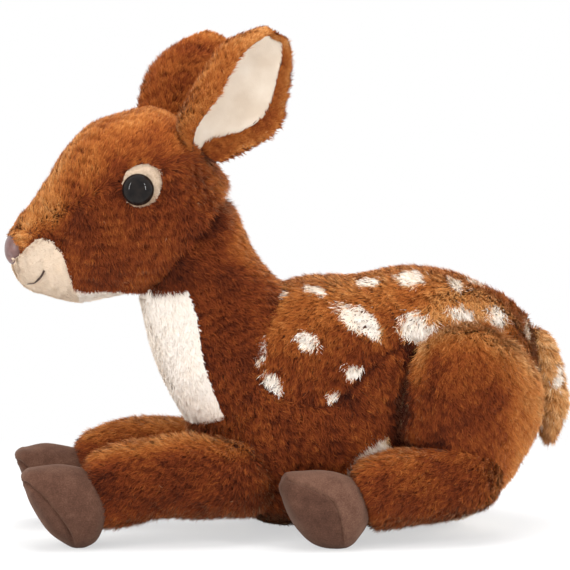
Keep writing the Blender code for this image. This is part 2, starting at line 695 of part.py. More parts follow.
def make_body(torso, neck, above_neckline):
    """The body bag's three panels, its filling and its pouch, and the neck with its bib."""
    saddle_border = [torso_place(*row) for row in SADDLE_BORDER_SHARES]
    saddle_corners = [(saddle_border[-1][0], saddle_border[0][1])]
    belly_border = [torso_place(*row) for row in BELLY_BORDER_SHARES]
    belly_corners = [(belly_border[-1][0], -OVERRUN), (belly_border[0][0], -OVERRUN)]

    def saddle_area(shift):
        return bordered("saddle", saddle_border, saddle_corners, shift)

    def belly_area(shift):
        return bordered("belly", belly_border, belly_corners, -shift)

    skin = combine(hollow_bag(torso, "body_skin", TORSO_FACETS),
                   [saddle_area(-SEAM_GAP / 2), belly_area(-SEAM_GAP / 2), floor_slab()])
    saddle = combine(hollow_bag(torso, "saddle_panel", TORSO_FACETS),
                     [saddle_area(SEAM_GAP / 2)], "INTERSECT")
    belly = combine(hollow_bag(torso, "belly_panel", TORSO_FACETS),
                    [belly_area(SEAM_GAP / 2)], "INTERSECT")
    combine(belly, [floor_slab()])

    x, z = torso_place(*POUCH_PLACE_SHARES)
    radii = (POUCH_LENGTH / 2, POUCH_WIDTH / 2, POUCH_HEIGHT / 2)
    room = CLOTH + FILL_GAP
    pouch = combine(oval("pellet_pouch", (x, 0, z), radii, ROUND_SIDES, ROUND_SIDES // 2),
                    [torso.solid("inside", *FILL_FACETS, inset=room)], "INTERSECT")
    filling = combine(torso.solid("body_filling", *FILL_FACETS, inset=room),
                      [oval("pouch room", (x, 0, z), radii, ROUND_SIDES, ROUND_SIDES // 2, SEAM_GAP)])

    bib_border = [flat(neck.at(*row)) for row in BIB_BORDER_SHARES]
    reach = NECK_DEPTH
    bib_corners = [(bib_border[-1][0] - reach, bib_border[-1][1]),
                   (bib_border[0][0] - reach, bib_border[0][1])]
    blank = combine(neck.solid("blank", *NECK_FACETS, inset=-OVERRUN),
                    [neck.solid("core", *NECK_FACETS, inset=CLOTH + SEAM_GAP)])
    combine(blank, [bordered("bib", bib_border, bib_corners, -SEAM_GAP / 2)], "INTERSECT")
    stuffed_neck = combine(neck.solid("neck", *NECK_FACETS),
                           [above_neckline(), grown(torso, TORSO_FACETS), blank])
    bib = combine(hollow_bag(neck, "chest_bib", NECK_FACETS), [above_neckline()])
    combine(bib, [bordered("bib", bib_border, bib_corners, SEAM_GAP / 2)], "INTERSECT")
    combine(bib, [grown(torso, TORSO_FACETS)])
    return {skin: "brown_plush", saddle: "spotted_plush", belly: "cream_plush",
            filling: "fibre", pouch: "lawn", stuffed_neck: "brown_plush", bib: "cream_plush"}


def eye_solid(name, place, axis, grow=0):
    """A domed eye with its stem, or the room that it takes when grown."""
    radius, stem = EYE_WIDTH / 2 + grow, EYE_STEM / 2 + grow
    rise = EYE_BULGE + grow
    arc = [(radius * math.sin(a), rise * math.cos(a)) for a in np.linspace(0, math.pi / 2, 7)[1:]]
    rim = (radius * EYE_RIM_SHARE, -EYE_BULGE * EYE_SINK_SHARE - grow)
    profile = [(0, rise)] + arc + [rim, (stem, rim[1]), (stem, -EYE_STEM_LENGTH - grow),
                                   (0, -EYE_STEM_LENGTH - grow)]
    return turned(name, profile, place, axis, ROUND_SIDES)


def washer_solid(name, place, axis, depth, stem, grow=0):
    """A washer round a stem, or, when grown, the round well that it is pressed down through."""
    inner = 0 if grow else stem / 2 + SEAM_GAP
    outer = WASHER_WIDTH / 2 + grow
    low, high = -depth - WASHER_THICKNESS - grow, 0 if grow else -depth
    profile = [(inner, low), (outer, low), (outer, high), (inner, high)]
    return turned(name, profile, place, axis, ROUND_SIDES)


def eye_patch_area(name, side, place, shift):
    """A rounded square round an eye, on one side of the head."""
    reach = TORSO_WIDTH
    centre = np.array(flat(place)) + np.array(EYE_PATCH_OFFSET_SHARES) * (EYE_PATCH_LENGTH,
                                                                          EYE_PATCH_HEIGHT)
    angles = np.linspace(0, 2 * math.pi, ROUND_SIDES, endpoint=False)
    power = 2 / EYE_PATCH_SQUARE
    x = np.sign(np.cos(angles)) * np.abs(np.cos(angles)) ** power
    z = np.sign(np.sin(angles)) * np.abs(np.sin(angles)) ** power
    outline = np.column_stack([centre[0] + x * (EYE_PATCH_LENGTH / 2 - shift),
                               centre[1] + z * (EYE_PATCH_HEIGHT / 2 - shift)])
    near, far = (-reach, 0) if SIDES[side] < 0 else (0, reach)
    return slab(name, [tuple(point) for point in outline], near, far)


def nose_solid(name, head, grow=0):
    """The nose with its stem, or the room that they take when grown."""
    place = head.at(*NOSE_PLACE_SHARES)
    radii = (NOSE_DEPTH / 2, NOSE_WIDTH / 2, NOSE_HEIGHT / 2)
    stem = NOSE_STEM / 2 + grow
    profile = [(0, 0), (stem, 0), (stem, NOSE_STEM_LENGTH + grow), (0, NOSE_STEM_LENGTH + grow)]
    return combine(oval(name, place, radii, ROUND_SIDES, ROUND_SIDES // 2, grow),
                   [turned("stem", profile, place, -head.forward, STEM_SIDES)], "UNION")


def mouth_solid(name, head, grow=0):
    """The thread of the smile, from its left end under the nose to its right end."""
    along = MOUTH_ALONG_SHARES + MOUTH_ALONG_SHARES[-2::-1]
    degrees = MOUTH_DEGREES + tuple(-180 - angle for angle in MOUTH_DEGREES[-2::-1])
    table = np.column_stack([np.arange(len(along)), along, degrees])
    places = np.linspace(0, len(along) - 1, (len(along) - 1) * THREAD_STEPS + 1)
    along, degrees = flowing(table, places)
    return stitched_tube(name, head.point(along, np.radians(degrees)), MOUTH_THREAD / 2 + grow,
                         THREAD_SIDES)


def make_head(head, below_neckline):
    """The head bag's panels and filling, and the eyes, nose and mouth that they carry."""
    muzzle_border = [flat(head.at(*row)) for row in MUZZLE_BORDER_SHARES]
    muzzle_corners = [flat(head.at(MUZZLE_BORDER_SHARES[0][0], MUZZLE_BORDER_SHARES[-1][1]))]
    chin_border = [flat(head.at(*row)) for row in CHIN_BORDER_SHARES]
    chin_corners = [flat(head.at(row[0], MUZZLE_BORDER_SHARES[-1][1]))
                    for row in (CHIN_BORDER_SHARES[-1], CHIN_BORDER_SHARES[0])]

    def muzzle_area(shift):
        return bordered("muzzle", muzzle_border, muzzle_corners, -shift)

    def chin_area(shift):
        return bordered("chin", chin_border, chin_corners, shift)

    half_seam = SEAM_GAP / 2
    skin = combine(hollow_bag(head, "head_skin", HEAD_FACETS),
                   [below_neckline(), muzzle_area(-half_seam), chin_area(-half_seam),
                    nose_solid("nose room", head, SEAM_GAP)])
    muzzle = combine(hollow_bag(head, "muzzle", HEAD_FACETS), [muzzle_area(half_seam)], "INTERSECT")
    combine(muzzle, [nose_solid("nose room", head, SEAM_GAP),
                     mouth_solid("mouth room", head, SEAM_GAP)])
    chin = combine(hollow_bag(head, "chin_panel", HEAD_FACETS), [below_neckline()])
    combine(chin, [chin_area(half_seam)], "INTERSECT")
    combine(chin, [muzzle_area(-half_seam)])
    filling = combine(head.solid("head_filling", *FILL_FACETS, inset=CLOTH + FILL_GAP),
                      [below_neckline(), nose_solid("nose room", head, SEAM_GAP)])
    nose = nose_solid("nose", head)
    mouth = mouth_solid("mouth_thread", head)
    place = head.at(*NOSE_PLACE_SHARES)
    depth = NOSE_STEM_LENGTH * NOSE_WASHER_SHARE
    washer = washer_solid("nose_washer", place, head.forward, depth, NOSE_STEM)
    combine(filling, [washer_solid("washer room", place, head.forward, depth, NOSE_STEM, SEAM_GAP)])
    pieces = {skin: "brown_plush", muzzle: "cream_plush", chin: "cream_plush", filling: "fibre",
              nose: "brown_plastic", mouth: "thread", washer: "white_plastic"}

    for side in SIDES:
        angle = EYE_ANGLE if SIDES[side] < 0 else math.pi - EYE_ANGLE
        normal = head.normal(EYE_ALONG_SHARE, angle)
        surface = head.point(EYE_ALONG_SHARE, angle)
        seat = surface - normal * EYE_BULGE * EYE_SINK_SHARE
        depth = CLOTH + FILL_GAP / 2
        combine(skin, [eye_patch_area("patch", side, surface, -half_seam),
                       eye_solid("eye room", seat, normal, SEAM_GAP)])
        patch = combine(hollow_bag(head, "eye_patch_" + side, HEAD_FACETS),
                        [eye_patch_area("patch", side, surface, half_seam)], "INTERSECT")
        combine(patch, [eye_solid("eye room", seat, normal, SEAM_GAP)])
        combine(filling, [eye_solid("eye room", seat, normal, SEAM_GAP),
                          washer_solid("washer room", seat, normal, depth, EYE_STEM, SEAM_GAP)])
        pieces[patch] = "cream_plush"
        pieces[eye_solid("eye_" + side, seat, normal)] = "black_gloss"
        washer = washer_solid("eye_washer_" + side, seat, normal, depth, EYE_STEM)
        pieces[washer] = "white_plastic"
    return pieces


def make_ear(side, head):
    """One ear: its furry outer cloth with the rolled front edge, and its lining."""
    ear = Ear(side, head)
    middle, normal = ear.grid()
    lined = (slice(*LINING_ROWS), slice(*LINING_COLUMNS))
    outer = cupped_sheet("ear_" + side, middle, normal, -SEAM_GAP / 2, EAR_THICKNESS)
    lining = cupped_sheet("ear_lining_" + side, middle[lined], normal[lined],
                          LINING_THICKNESS, -SEAM_GAP / 2)
    for piece in (outer, lining):
        combine(piece, [grown(head, HEAD_FACETS)])
    return {outer: "brown_plush", lining: "velour"}, ear.hinge()


def make_foreleg(side, torso, neck):
    """One foreleg with its hoof, and the point that it lifts about."""
    leg = foreleg_form(SIDES[side])
    hoof = fore_hoof_form(leg)
    hinge = leg.at(*FORELEG_HINGE_SHARES)
    tools = [grown(torso, TORSO_FACETS), grown(hoof, HOOF_FACETS), floor_slab()]
    for step in range(FORELEG_LIFT_STEPS + 1):
        passing = grown(neck, NECK_FACETS)
        turn = Matrix.Rotation(-FORELEG_LIFT * step / FORELEG_LIFT_STEPS, 4, "Y")
        centre = Matrix.Translation(Vector(hinge))
        passing.data.transform(centre @ turn @ centre.inverted())
        tools.append(passing)
    limb = combine(leg.solid("foreleg_" + side, *LEG_FACETS), tools)
    foot = combine(hoof.solid("fore_hoof_" + side, *HOOF_FACETS), [floor_slab()])
    return {limb: "brown_plush", foot: "suede"}, hinge


def make_hindleg(side, torso):
    """One thigh, shank and hind hoof, and the point that they splay about."""
    thigh = thigh_form(SIDES[side])
    shank = shank_form(SIDES[side], thigh)
    hoof = hind_hoof_form(shank)
    haunch = combine(thigh.solid("thigh_" + side, *THIGH_FACETS), [grown(torso, TORSO_FACETS)])
    limb = combine(shank.solid("shank_" + side, *LEG_FACETS),
                   [grown(torso, TORSO_FACETS), grown(thigh, THIGH_FACETS),
                    grown(hoof, HOOF_FACETS), floor_slab()])
    foot = combine(hoof.solid("hind_hoof_" + side, *HOOF_FACETS),
                   [grown(torso, TORSO_FACETS), floor_slab()])
    across, high = THIGH_HINGE_SHARES
    hinge = thigh.at(0.5, high)
    hinge[1] += SIDES[side] * across * THIGH_WIDTH
    return {haunch: "brown_plush", limb: "brown_plush", foot: "suede"}, hinge


def make_tail(torso):
    """The tail and its lining, and the point that it lifts about."""
    tail = tail_form()
    line = [flat(tail.at(along, TAIL_LINING_SHARE)) for along in (0, 1)]
    half_seam = SEAM_GAP / 2
    outer = combine(tail.solid("tail", *TAIL_FACETS),
                    [grown(torso, TORSO_FACETS),
                     half_plane("inner side", line[1], line[0], -half_seam, TAIL_LENGTH)])
    lining = combine(tail.solid("tail_lining", *TAIL_FACETS),
                     [grown(torso, TORSO_FACETS),
                      half_plane("outer side", line[0], line[1], -half_seam, TAIL_LENGTH)])
    return {outer: "spotted_plush", lining: "cream_plush"}, tail.at(*TAIL_HINGE_SHARES)


def plain_material(name):
    """A material of one colour and roughness."""
    colour, roughness = COLOURS[name]
    material = bpy.data.materials.new(name)
    material.use_nodes = True
    shader = material.node_tree.nodes["Principled BSDF"]
    shader.inputs["Base Color"].default_value = (*colour, 1)
    shader.inputs["Roughness"].default_value = roughness
    shader.inputs["Metallic"].default_value = 0
    material.diffuse_color = (*colour, 1)
    return material


def pivot(name, place, parent):
    """An empty on a joint's axis, or the toy's own frame."""
    empty = bpy.data.objects.new(name, None)
    bpy.context.collection.objects.link(empty)
    empty.parent = parent
    empty.location = Vector(place) - (parent_place(parent) if parent else Vector())
    return empty


def parent_place(empty):
    """Where an unturned empty stands in the toy's own frame."""
    place = Vector()
    while empty is not None and empty.parent is not None:
        place += empty.location
        empty = empty.parent
    return place


def carry(pieces, empty, materials):
    """Give pieces their materials and hang them on an empty, where they are."""
    for piece, material in pieces.items():
        piece.data.materials.clear()
        piece.data.materials.append(materials[material])
        piece.data.shade_smooth()
        piece.data.set_sharp_from_angle(angle=math.radians(40))
        piece.parent = empty
        piece.location = -parent_place(empty)


def main():
    """Build the fawn and stand its box's middle on the origin."""
    for old in list(bpy.data.objects):
        bpy.data.objects.remove(old)
    materials = {name: plain_material(name) for name in COLOURS}

    torso, neck = torso_form(), neck_form()
    head = head_form(neck)
    throat, nape = (flat(neck.at(*row)) for row in NECKLINE_SHARES)
    fawn = pivot("fawn", (0, 0, 0), None)
    head_place = ((throat[0] + nape[0]) / 2, 0, (throat[1] + nape[1]) / 2)
    head_pivot = pivot("head_pivot", head_place, fawn)

    groups = [(make_body(torso, neck, lambda: half_plane("head side", throat, nape,
                                                         -SEAM_GAP / 2, HEAD_LENGTH)), fawn)]
    groups.append((make_head(head, lambda: half_plane("neck side", nape, throat,
                                                      -SEAM_GAP / 2, HEAD_LENGTH)), head_pivot))
    for side in SIDES:
        pieces, hinge = make_ear(side, head)
        groups.append((pieces, pivot("ear_pivot_" + side, hinge, head_pivot)))
        pieces, hinge = make_foreleg(side, torso, neck)
        groups.append((pieces, pivot("foreleg_pivot_" + side, hinge, fawn)))
        pieces, hinge = make_hindleg(side, torso)
        groups.append((pieces, pivot("hindleg_pivot_" + side, hinge, fawn)))
    pieces, hinge = make_tail(torso)
    groups.append((pieces, pivot("tail_pivot", hinge, fawn)))

    solids = [solid for pieces, empty in groups for solid in pieces]
    corners = np.array([vertex.co for solid in solids for vertex in solid.data.vertices])
    low, high = corners.min(axis=0), corners.max(axis=0)
    for pieces, empty in groups:
        carry(pieces, empty, materials)
    fawn.location = (-(low[0] + high[0]) / 2, -(low[1] + high[1]) / 2, -low[2])
    bpy.context.view_layer.update()

    print("size, mm:", np.round((high - low) * 1000, 1))
    for pieces, empty in groups:
        print(empty.name, "at", [round(value, 5) for value in empty.matrix_world.translation])
    line = np.array(nape) - np.array(throat)
    line /= np.linalg.norm(line)
    print("head turns about", [round(-line[1], 5), 0, round(line[0], 5)])
    for side in SIDES:
        print("ear", side, "flops about", [round(value, 5) for value in Ear(side, head).across])
    print("triangles:", sum(len(face.vertices) - 2 for solid in solids for face in solid.data.polygons))


main()
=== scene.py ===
# %% [markdown]
# # A plush fawn lying down
# The real toy is a set of bags sewn from pile fabric, turned right side out and stuffed tight,
# with suede hooves, velour in the ears, and eyes and a nose of plastic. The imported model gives
# every bag its place and size. Here each bag is drawn again on a fine grid from the same few
# measures, and then the pile is planted on it, hair by hair.

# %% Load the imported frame
import math

import bpy
import numpy as np
from mathutils import Matrix


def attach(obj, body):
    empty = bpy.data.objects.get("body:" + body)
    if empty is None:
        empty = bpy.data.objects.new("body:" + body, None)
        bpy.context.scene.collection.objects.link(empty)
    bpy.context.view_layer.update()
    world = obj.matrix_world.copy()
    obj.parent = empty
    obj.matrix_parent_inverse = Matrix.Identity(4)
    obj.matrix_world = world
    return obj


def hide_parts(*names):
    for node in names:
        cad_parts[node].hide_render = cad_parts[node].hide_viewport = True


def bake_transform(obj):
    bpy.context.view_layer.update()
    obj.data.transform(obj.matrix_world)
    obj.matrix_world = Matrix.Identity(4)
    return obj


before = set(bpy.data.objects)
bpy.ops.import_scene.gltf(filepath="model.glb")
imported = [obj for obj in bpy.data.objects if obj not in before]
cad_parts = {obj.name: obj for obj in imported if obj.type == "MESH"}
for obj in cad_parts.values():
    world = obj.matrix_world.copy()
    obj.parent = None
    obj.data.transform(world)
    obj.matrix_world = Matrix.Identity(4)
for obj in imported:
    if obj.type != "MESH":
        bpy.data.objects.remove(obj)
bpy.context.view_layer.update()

# %% [markdown]
# ## Camera
# The photograph was taken from the fawn's left side, a little from the front and a little from
# above, with a long lens. The same camera also tells where a mark in the photograph lies on the
# toy, so its numbers are kept as names and used again for the spots of the coat.

# %% Directions and places
def unit(vectors, least=0.0):
    """A vector, or every row of a table of them, divided by its length. Rows shorter than least
    are divided by least."""
    if vectors.ndim == 1:
        return vectors / np.linalg.norm(vectors)
    return vectors / np.maximum(np.linalg.norm(vectors, axis=-1, keepdims=True), least)


def standing(right, up, back, place):
    """The matrix of an object that stands at a place, from the directions of its three axes."""
    matrix = np.eye(4)
    matrix[:3] = np.column_stack([right, up, back, place])
    return Matrix(matrix.tolist())


# %% Camera at the photograph's place
PHOTO_SIDE = 570
AIM = np.array([-0.0025, 0.0, 0.144])
CAMERA_AZIMUTH, CAMERA_RISE, CAMERA_DISTANCE = math.radians(-8), math.radians(5), 1.6
METRES_PER_PIXEL = 0.000585
SENSOR = 36.0

towards_camera = np.array([math.sin(CAMERA_AZIMUTH) * math.cos(CAMERA_RISE),
                           -math.cos(CAMERA_AZIMUTH) * math.cos(CAMERA_RISE),
                           math.sin(CAMERA_RISE)])
camera_right = unit(np.cross(-towards_camera, (0, 0, 1)))
camera_up = np.cross(camera_right, -towards_camera)
camera_place = AIM + towards_camera * CAMERA_DISTANCE

lens = bpy.data.cameras.new("photo_camera")
lens.sensor_width = SENSOR
lens.lens = SENSOR * CAMERA_DISTANCE / (PHOTO_SIDE * METRES_PER_PIXEL)
camera = bpy.data.objects.new("photo_camera", lens)
bpy.context.collection.objects.link(camera)
camera.matrix_world = standing(camera_right, camera_up, towards_camera, camera_place)
bpy.context.scene.camera = camera


# %% Where points come out in the photograph
def photo_pixel(points):
    """Where points come out in the photograph: their distance to the right and up in the
    camera's plane, divided by how far away they are."""
    seen = points - camera_place
    depth = -(seen @ towards_camera)
    scale = CAMERA_DISTANCE / METRES_PER_PIXEL / depth
    return np.column_stack([PHOTO_SIDE / 2 + seen @ camera_right * scale,
                            PHOTO_SIDE / 2 - seen @ camera_up * scale])


def near_pixels(points):
    """The same for points on the near side, and for the mirror images of those on the far."""
    near = points.copy()
    near[:, 1] = -np.abs(near[:, 1])
    return photo_pixel(near)


def middle_pixels(points):
    """How far right points come out in the photograph when they are moved to the middle plane."""
    return photo_pixel(points * [1, 0, 1])[:, 0]


print("lens, mm:", round(lens.lens, 1))

# %% [markdown]
# ## Light and floor
# A product photograph like this one is lit by large soft boxes, the strongest above the toy, so
# that its back and crown are bright and its underside is dark. Large area lamps give that, and
# two narrow strips give the eyes their bright curved lines. The white ground could be had by more
# light, but that would bleach the coat. Instead the world and the floor are white only to the
# rays that come from the camera, or from a shiny or a clear surface, and the floor keeps a soft
# shadow close round the toy.

# %% World
world = bpy.data.worlds.new("studio")
bpy.context.scene.world = world
world.use_nodes = True
nodes, links = world.node_tree.nodes, world.node_tree.links
nodes.clear()


def math_node(nodes, links, operation, first, second):
    """A sum on two outputs, by the name of its operation."""
    made = nodes.new("ShaderNodeMath")
    made.operation = operation
    links.new(first, made.inputs[0])
    links.new(second, made.inputs[1])
    return made.outputs[0]


def seen_directly(nodes, links):
    """One where the ray comes from the camera, a shiny surface or a clear one, else nothing."""
    rays = nodes.new("ShaderNodeLightPath").outputs
    either = math_node(nodes, links, "MAXIMUM", rays["Is Camera Ray"], rays["Is Glossy Ray"])
    return math_node(nodes, links, "MAXIMUM", either, rays["Is Transmission Ray"])


def put_values(node, values):
    """Numbers and colours, set on a node's own sockets."""
    for socket, value in values.items():
        node.inputs[socket].default_value = value


WORLD_LIGHT = 0.46
fill, white = nodes.new("ShaderNodeBackground"), nodes.new("ShaderNodeBackground")
put_values(fill, {"Color": (1.0, 0.985, 0.965, 1), "Strength": WORLD_LIGHT})
put_values(white, {"Color": (1, 1, 1, 1), "Strength": 1.0})
choose, out = nodes.new("ShaderNodeMixShader"), nodes.new("ShaderNodeOutputWorld")
links.new(seen_directly(nodes, links), choose.inputs[0])
links.new(fill.outputs[0], choose.inputs[1])
links.new(white.outputs[0], choose.inputs[2])
links.new(choose.outputs[0], out.inputs["Surface"])

# %% Lamps
LAMPS = {
    "top_box": ((0.05, 0.05, 1.25), (1.1, 1.1), 17.5),
    "front_box": ((-0.75, -1.25, 0.75), (0.9, 0.9), 6.6),
    "back_box": ((0.55, 1.15, 0.80), (0.9, 0.5), 7.5),
    "right_box": ((1.40, -0.15, 0.50), (0.6, 0.9), 7.0),
    "left_box": ((-1.40, 0.25, 0.55), (0.6, 0.9), 4.0),
    "strip_left": ((-0.86, -0.58, 0.62), (0.022, 0.75), 4.5),
    "strip_right": ((0.66, -0.82, 0.62), (0.022, 0.75), 4.5),
}


def soft_box(name, place, size, power):
    """A rectangular lamp at a place, turned to face the toy's middle."""
    lamp = bpy.data.lights.new(name, "AREA")
    lamp.shape = "RECTANGLE"
    lamp.size, lamp.size_y = size
    lamp.energy = power
    box = bpy.data.objects.new(name, lamp)
    box.visible_glossy = name.startswith("strip")
    bpy.context.collection.objects.link(box)
    back = unit(np.array(place) - AIM)
    side = unit(np.cross((0, 0, 1) if abs(back[2]) < 0.9 else (0, 1, 0), back))
    box.matrix_world = standing(side, np.cross(back, side), back, place)


for lamp_name, (lamp_place, lamp_size, lamp_power) in LAMPS.items():
    soft_box(lamp_name, lamp_place, lamp_size, lamp_power)
print("lamps:", len(LAMPS))

# %% [markdown]
# ## A way to hold surfaces
# Every piece is a table of points and a table of triangles. Blender takes whole tables at once,
# which is far quicker than adding corners one by one. A grid of points becomes triangles by
# joining each little square's corners, and a closed form gets one extra point at each end.

# %% Meshes from whole arrays
def put_mesh(name, points, triangles, smooth=True):
    """A mesh object at the origin from an array of points and an array of corner numbers."""
    mesh = bpy.data.meshes.new(name)
    mesh.vertices.add(len(points))
    mesh.vertices.foreach_set("co", np.asarray(points, np.float32).ravel())
    mesh.loops.add(triangles.size)
    mesh.loops.foreach_set("vertex_index", np.asarray(triangles, np.int32).ravel())
    mesh.polygons.add(len(triangles))
    mesh.polygons.foreach_set("loop_start", np.arange(0, triangles.size, 3, dtype=np.int32))
    mesh.update(calc_edges=True)
    mesh.polygons.foreach_set("use_smooth", np.full(len(triangles), smooth))
    piece = bpy.data.objects.new(name, mesh)
    bpy.context.collection.objects.link(piece)
    return piece


# %% Triangles and their directions
def grid_triangles(rows, columns, round_rows=True):
    """Two triangles for each square of a grid of points. The rows close on themselves when the
    grid runs round a form."""
    ring = np.arange(columns)
    following = (ring + 1) % columns if round_rows else ring[:-1] + 1
    ring = ring if round_rows else ring[:-1]
    base = np.arange(rows - 1)[:, None] * columns
    a, b = base + ring, base + following
    c, d = b + columns, a + columns
    return np.concatenate([np.stack([a, b, c], -1).reshape(-1, 3),
                           np.stack([a, c, d], -1).reshape(-1, 3)])


def face_directions(points, triangles):
    """Each triangle's direction, as long as twice its area, from the cross of two sides."""
    a, b, c = (points[triangles[:, corner]] for corner in range(3))
    return np.cross(b - a, c - a)


def point_directions(points, triangles):
    """Each point's outward direction: its triangles' directions added up."""
    across = face_directions(points, triangles)
    total = np.zeros_like(points)
    for corner in range(3):
        for axis in range(3):
            total[:, axis] += np.bincount(triangles[:, corner], across[:, axis], len(points))
    return unit(total, 1e-12)


def facing_out(points, triangles):
    """The triangles of a closed form, all turned over when the volume that they enclose is
    negative: a third of each triangle's height over the form's middle times its area, summed."""
    a, b, c = ((points - points.mean(0))[triangles[:, corner]] for corner in range(3))
    return triangles[:, ::-1] if np.einsum("ij,ij->i", a, np.cross(b, c)).sum() < 0 else triangles


def closed_triangles(points, rings, sides):
    """Triangles of a closed form: a grid of rings, and a fan from its first and its last ring to
    one point each. The two end points are the last two."""
    ring, last = np.arange(sides), (rings - 1) * sides
    following, end = (ring + 1) % sides, np.full(sides, rings * sides)
    triangles = np.concatenate([grid_triangles(rings, sides),
                                np.stack([end, following, ring], -1),
                                np.stack([end + 1, last + ring, last + following], -1)])
    return facing_out(points, triangles)


# %% [markdown]
# ## Stuffed forms
# A stuffed bag is round in section and changes slowly along its length. One table of a few rows
# says how high, how low and how wide it is at shares of its length, and a smooth curve through
# the rows gives every section between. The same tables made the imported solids, so every piece
# here sits in its own solid's place.

# %% Numbers read on smooth curves
def read_rows(rows, places):
    """Columns of a table at any places: each column follows a smooth curve through its rows,
    whose slope at a row is the mean slope of its neighbours."""
    table = np.array(rows, float)
    places = np.asarray(places, float)
    knots = table[:, 0]
    slopes = np.gradient(table[:, 1:], knots, axis=0)
    left = np.clip(np.searchsorted(knots, places, side="right") - 1, 0, len(knots) - 2)
    step = (knots[left + 1] - knots[left])[:, None]
    share = np.clip((places - knots[left])[:, None] / step, 0, 1)
    return ((1 + 2 * share) * (1 - share) ** 2 * table[left, 1:]
            + share * (1 - share) ** 2 * step * slopes[left]
            + share ** 2 * (3 - 2 * share) * table[left + 1, 1:]
            + share ** 2 * (share - 1) * step * slopes[left + 1]).T


def end_rounding(places, caps):
    """Share of the full section: it closes as a quarter of an oval over each end's cap."""
    front = np.clip(1 - places / caps[0], 0, 1)
    rear = np.clip(1 - (1 - places) / caps[1], 0, 1)
    return np.sqrt(1 - front ** 2) * np.sqrt(1 - rear ** 2)


# %% The bag
class Bag:
    """A stuffed form: oval sections on a straight spine. A point is at a share of the spine and
    an angle round it, and both may be whole arrays."""

    def __init__(self, start, forward, up, sizes, rows, caps, square=2.2):
        self.start = np.array(start, float)
        self.forward = unit(np.array(forward, float))
        self.side = unit(np.cross(np.array(up, float), self.forward))
        self.up = np.cross(self.forward, self.side)
        self.length, self.height, self.width = sizes
        self.rows, self.caps, self.square = rows, caps, square

    def section(self, along):
        """Middle height, half height, half width and end rounding at shares of the spine."""
        top, bottom, half = read_rows(self.rows, along)
        return ((top + bottom) / 2 * self.height, (top - bottom) / 2 * self.height,
                half * self.width, end_rounding(along, self.caps))

    def skin(self, along, angle, inset=0.0):
        """Start plus reach along the spine, plus across and high on a squared-off oval."""
        along, angle, inset = np.broadcast_arrays(along, angle, inset)
        flat, turn, inset_flat = along.ravel(), angle.ravel(), inset.ravel()
        middle, rise, half, closing = self.section(flat)
        reach = inset_flat + (self.length - 2 * inset_flat) * flat
        cosine, sine = np.cos(turn), np.sin(turn)
        power = 2 / self.square
        across = (half - inset_flat) * closing * np.sign(cosine) * np.abs(cosine) ** power
        high = middle + (rise - inset_flat) * closing * np.sign(sine) * np.abs(sine) ** power
        points = (self.start + np.outer(reach, self.forward) + np.outer(across, self.side)
                  + np.outer(high, self.up))
        return points.reshape(along.shape + (3,))

    def at(self, along, high):
        """A point in the middle plane, by share of the length and share of the height."""
        return self.start + self.forward * self.length * along + self.up * self.height * high

    def shares(self, points):
        """The shares of length and height at which points lie, as seen from the side."""
        local = points - self.start
        return local @ self.forward / self.length, local @ self.up / self.height

    def oval(self, points, end, least, inset=0.0):
        """Each point's share of the length, and how far out it is in its oval: across and high
        as shares of the radius, raised to the oval's power and added."""
        local = points - self.start
        along = local @ self.forward / self.length
        middle, rise, half, closing = self.section(np.clip(along, end, 1 - end))
        across = np.abs(local @ self.side) / np.maximum((half - inset) * closing, least)
        high = np.abs(local @ self.up - middle) / np.maximum((rise - inset) * closing, least)
        return along, across ** self.square + high ** self.square

    def inside(self, points, inset=0.0):
        """True where points lie under the skin by more than the inset."""
        along, out = self.oval(points, 0.0, 1e-6, inset)
        return (out < 1) & (along > 0) & (along < 1)

    def level(self, points):
        """How far out points lie, as a share of the skin's radius there: one on the skin."""
        along, out = self.oval(points, 0.001, 1e-4)
        return out ** (1 / self.square) + np.maximum(np.maximum(-along, along - 1), 0) * 20

    def outward(self, along, angle):
        """The skin's outward direction at one place, from two small steps on it."""
        small = 0.01
        step = (self.skin(along + small, angle) - self.skin(along - small, angle)).ravel()
        round_step = (self.skin(along, angle + small) - self.skin(along, angle - small)).ravel()
        direction = np.cross(round_step, step)
        direction *= np.sign(direction @ (self.skin(along, angle).ravel() - self.at(along, 0)))
        return unit(direction)

    def surface(self, rings, sides, inset=0.0):
        """Points and triangles of the closed skin. The inset is one number, or a function of
        the points of the full form that gives each its own."""
        steps = np.linspace(0, math.pi, rings + 2)[1:-1]
        along = ((1 - np.cos(steps)) / 2)[:, None]
        angles = np.linspace(0, 2 * math.pi, sides, endpoint=False)[None, :]
        if callable(inset):
            full = self.skin(along, angles)
            ring_inset = inset(full.reshape(-1, 3)).reshape(full.shape[:2])
            end_inset = inset(self.skin(np.array([0.0, 1.0]), np.zeros(2)))
        else:
            ring_inset, end_inset = inset, inset
        points = np.vstack([self.skin(along, angles, ring_inset).reshape(-1, 3),
                            self.skin(np.array([0.0, 1.0]), np.zeros(2), end_inset)])
        return points, closed_triangles(points, rings, sides)


# %% The body bag and the neck
SPINE_START = -0.06049
TORSO_LENGTH, TORSO_HEIGHT, TORSO_WIDTH = 0.211, 0.156, 0.110


def torso_place(along, high):
    """X and Z from shares of the body's length and height."""
    return SPINE_START + along * TORSO_LENGTH, high * TORSO_HEIGHT


torso = Bag((SPINE_START, 0, TORSO_HEIGHT / 2), (1, 0, 0), (0, 0, 1),
            (TORSO_LENGTH, TORSO_HEIGHT, TORSO_WIDTH),
            ((0.00, 0.270, -0.420, 0.39), (0.15, 0.370, -0.475, 0.455),
             (0.30, 0.460, -0.500, 0.49), (0.45, 0.478, -0.503, 0.50),
             (0.60, 0.500, -0.503, 0.472), (0.72, 0.494, -0.503, 0.444),
             (0.84, 0.453, -0.470, 0.426), (1.00, 0.480, -0.250, 0.400)),
            (0.22, 0.22), square=2.4)

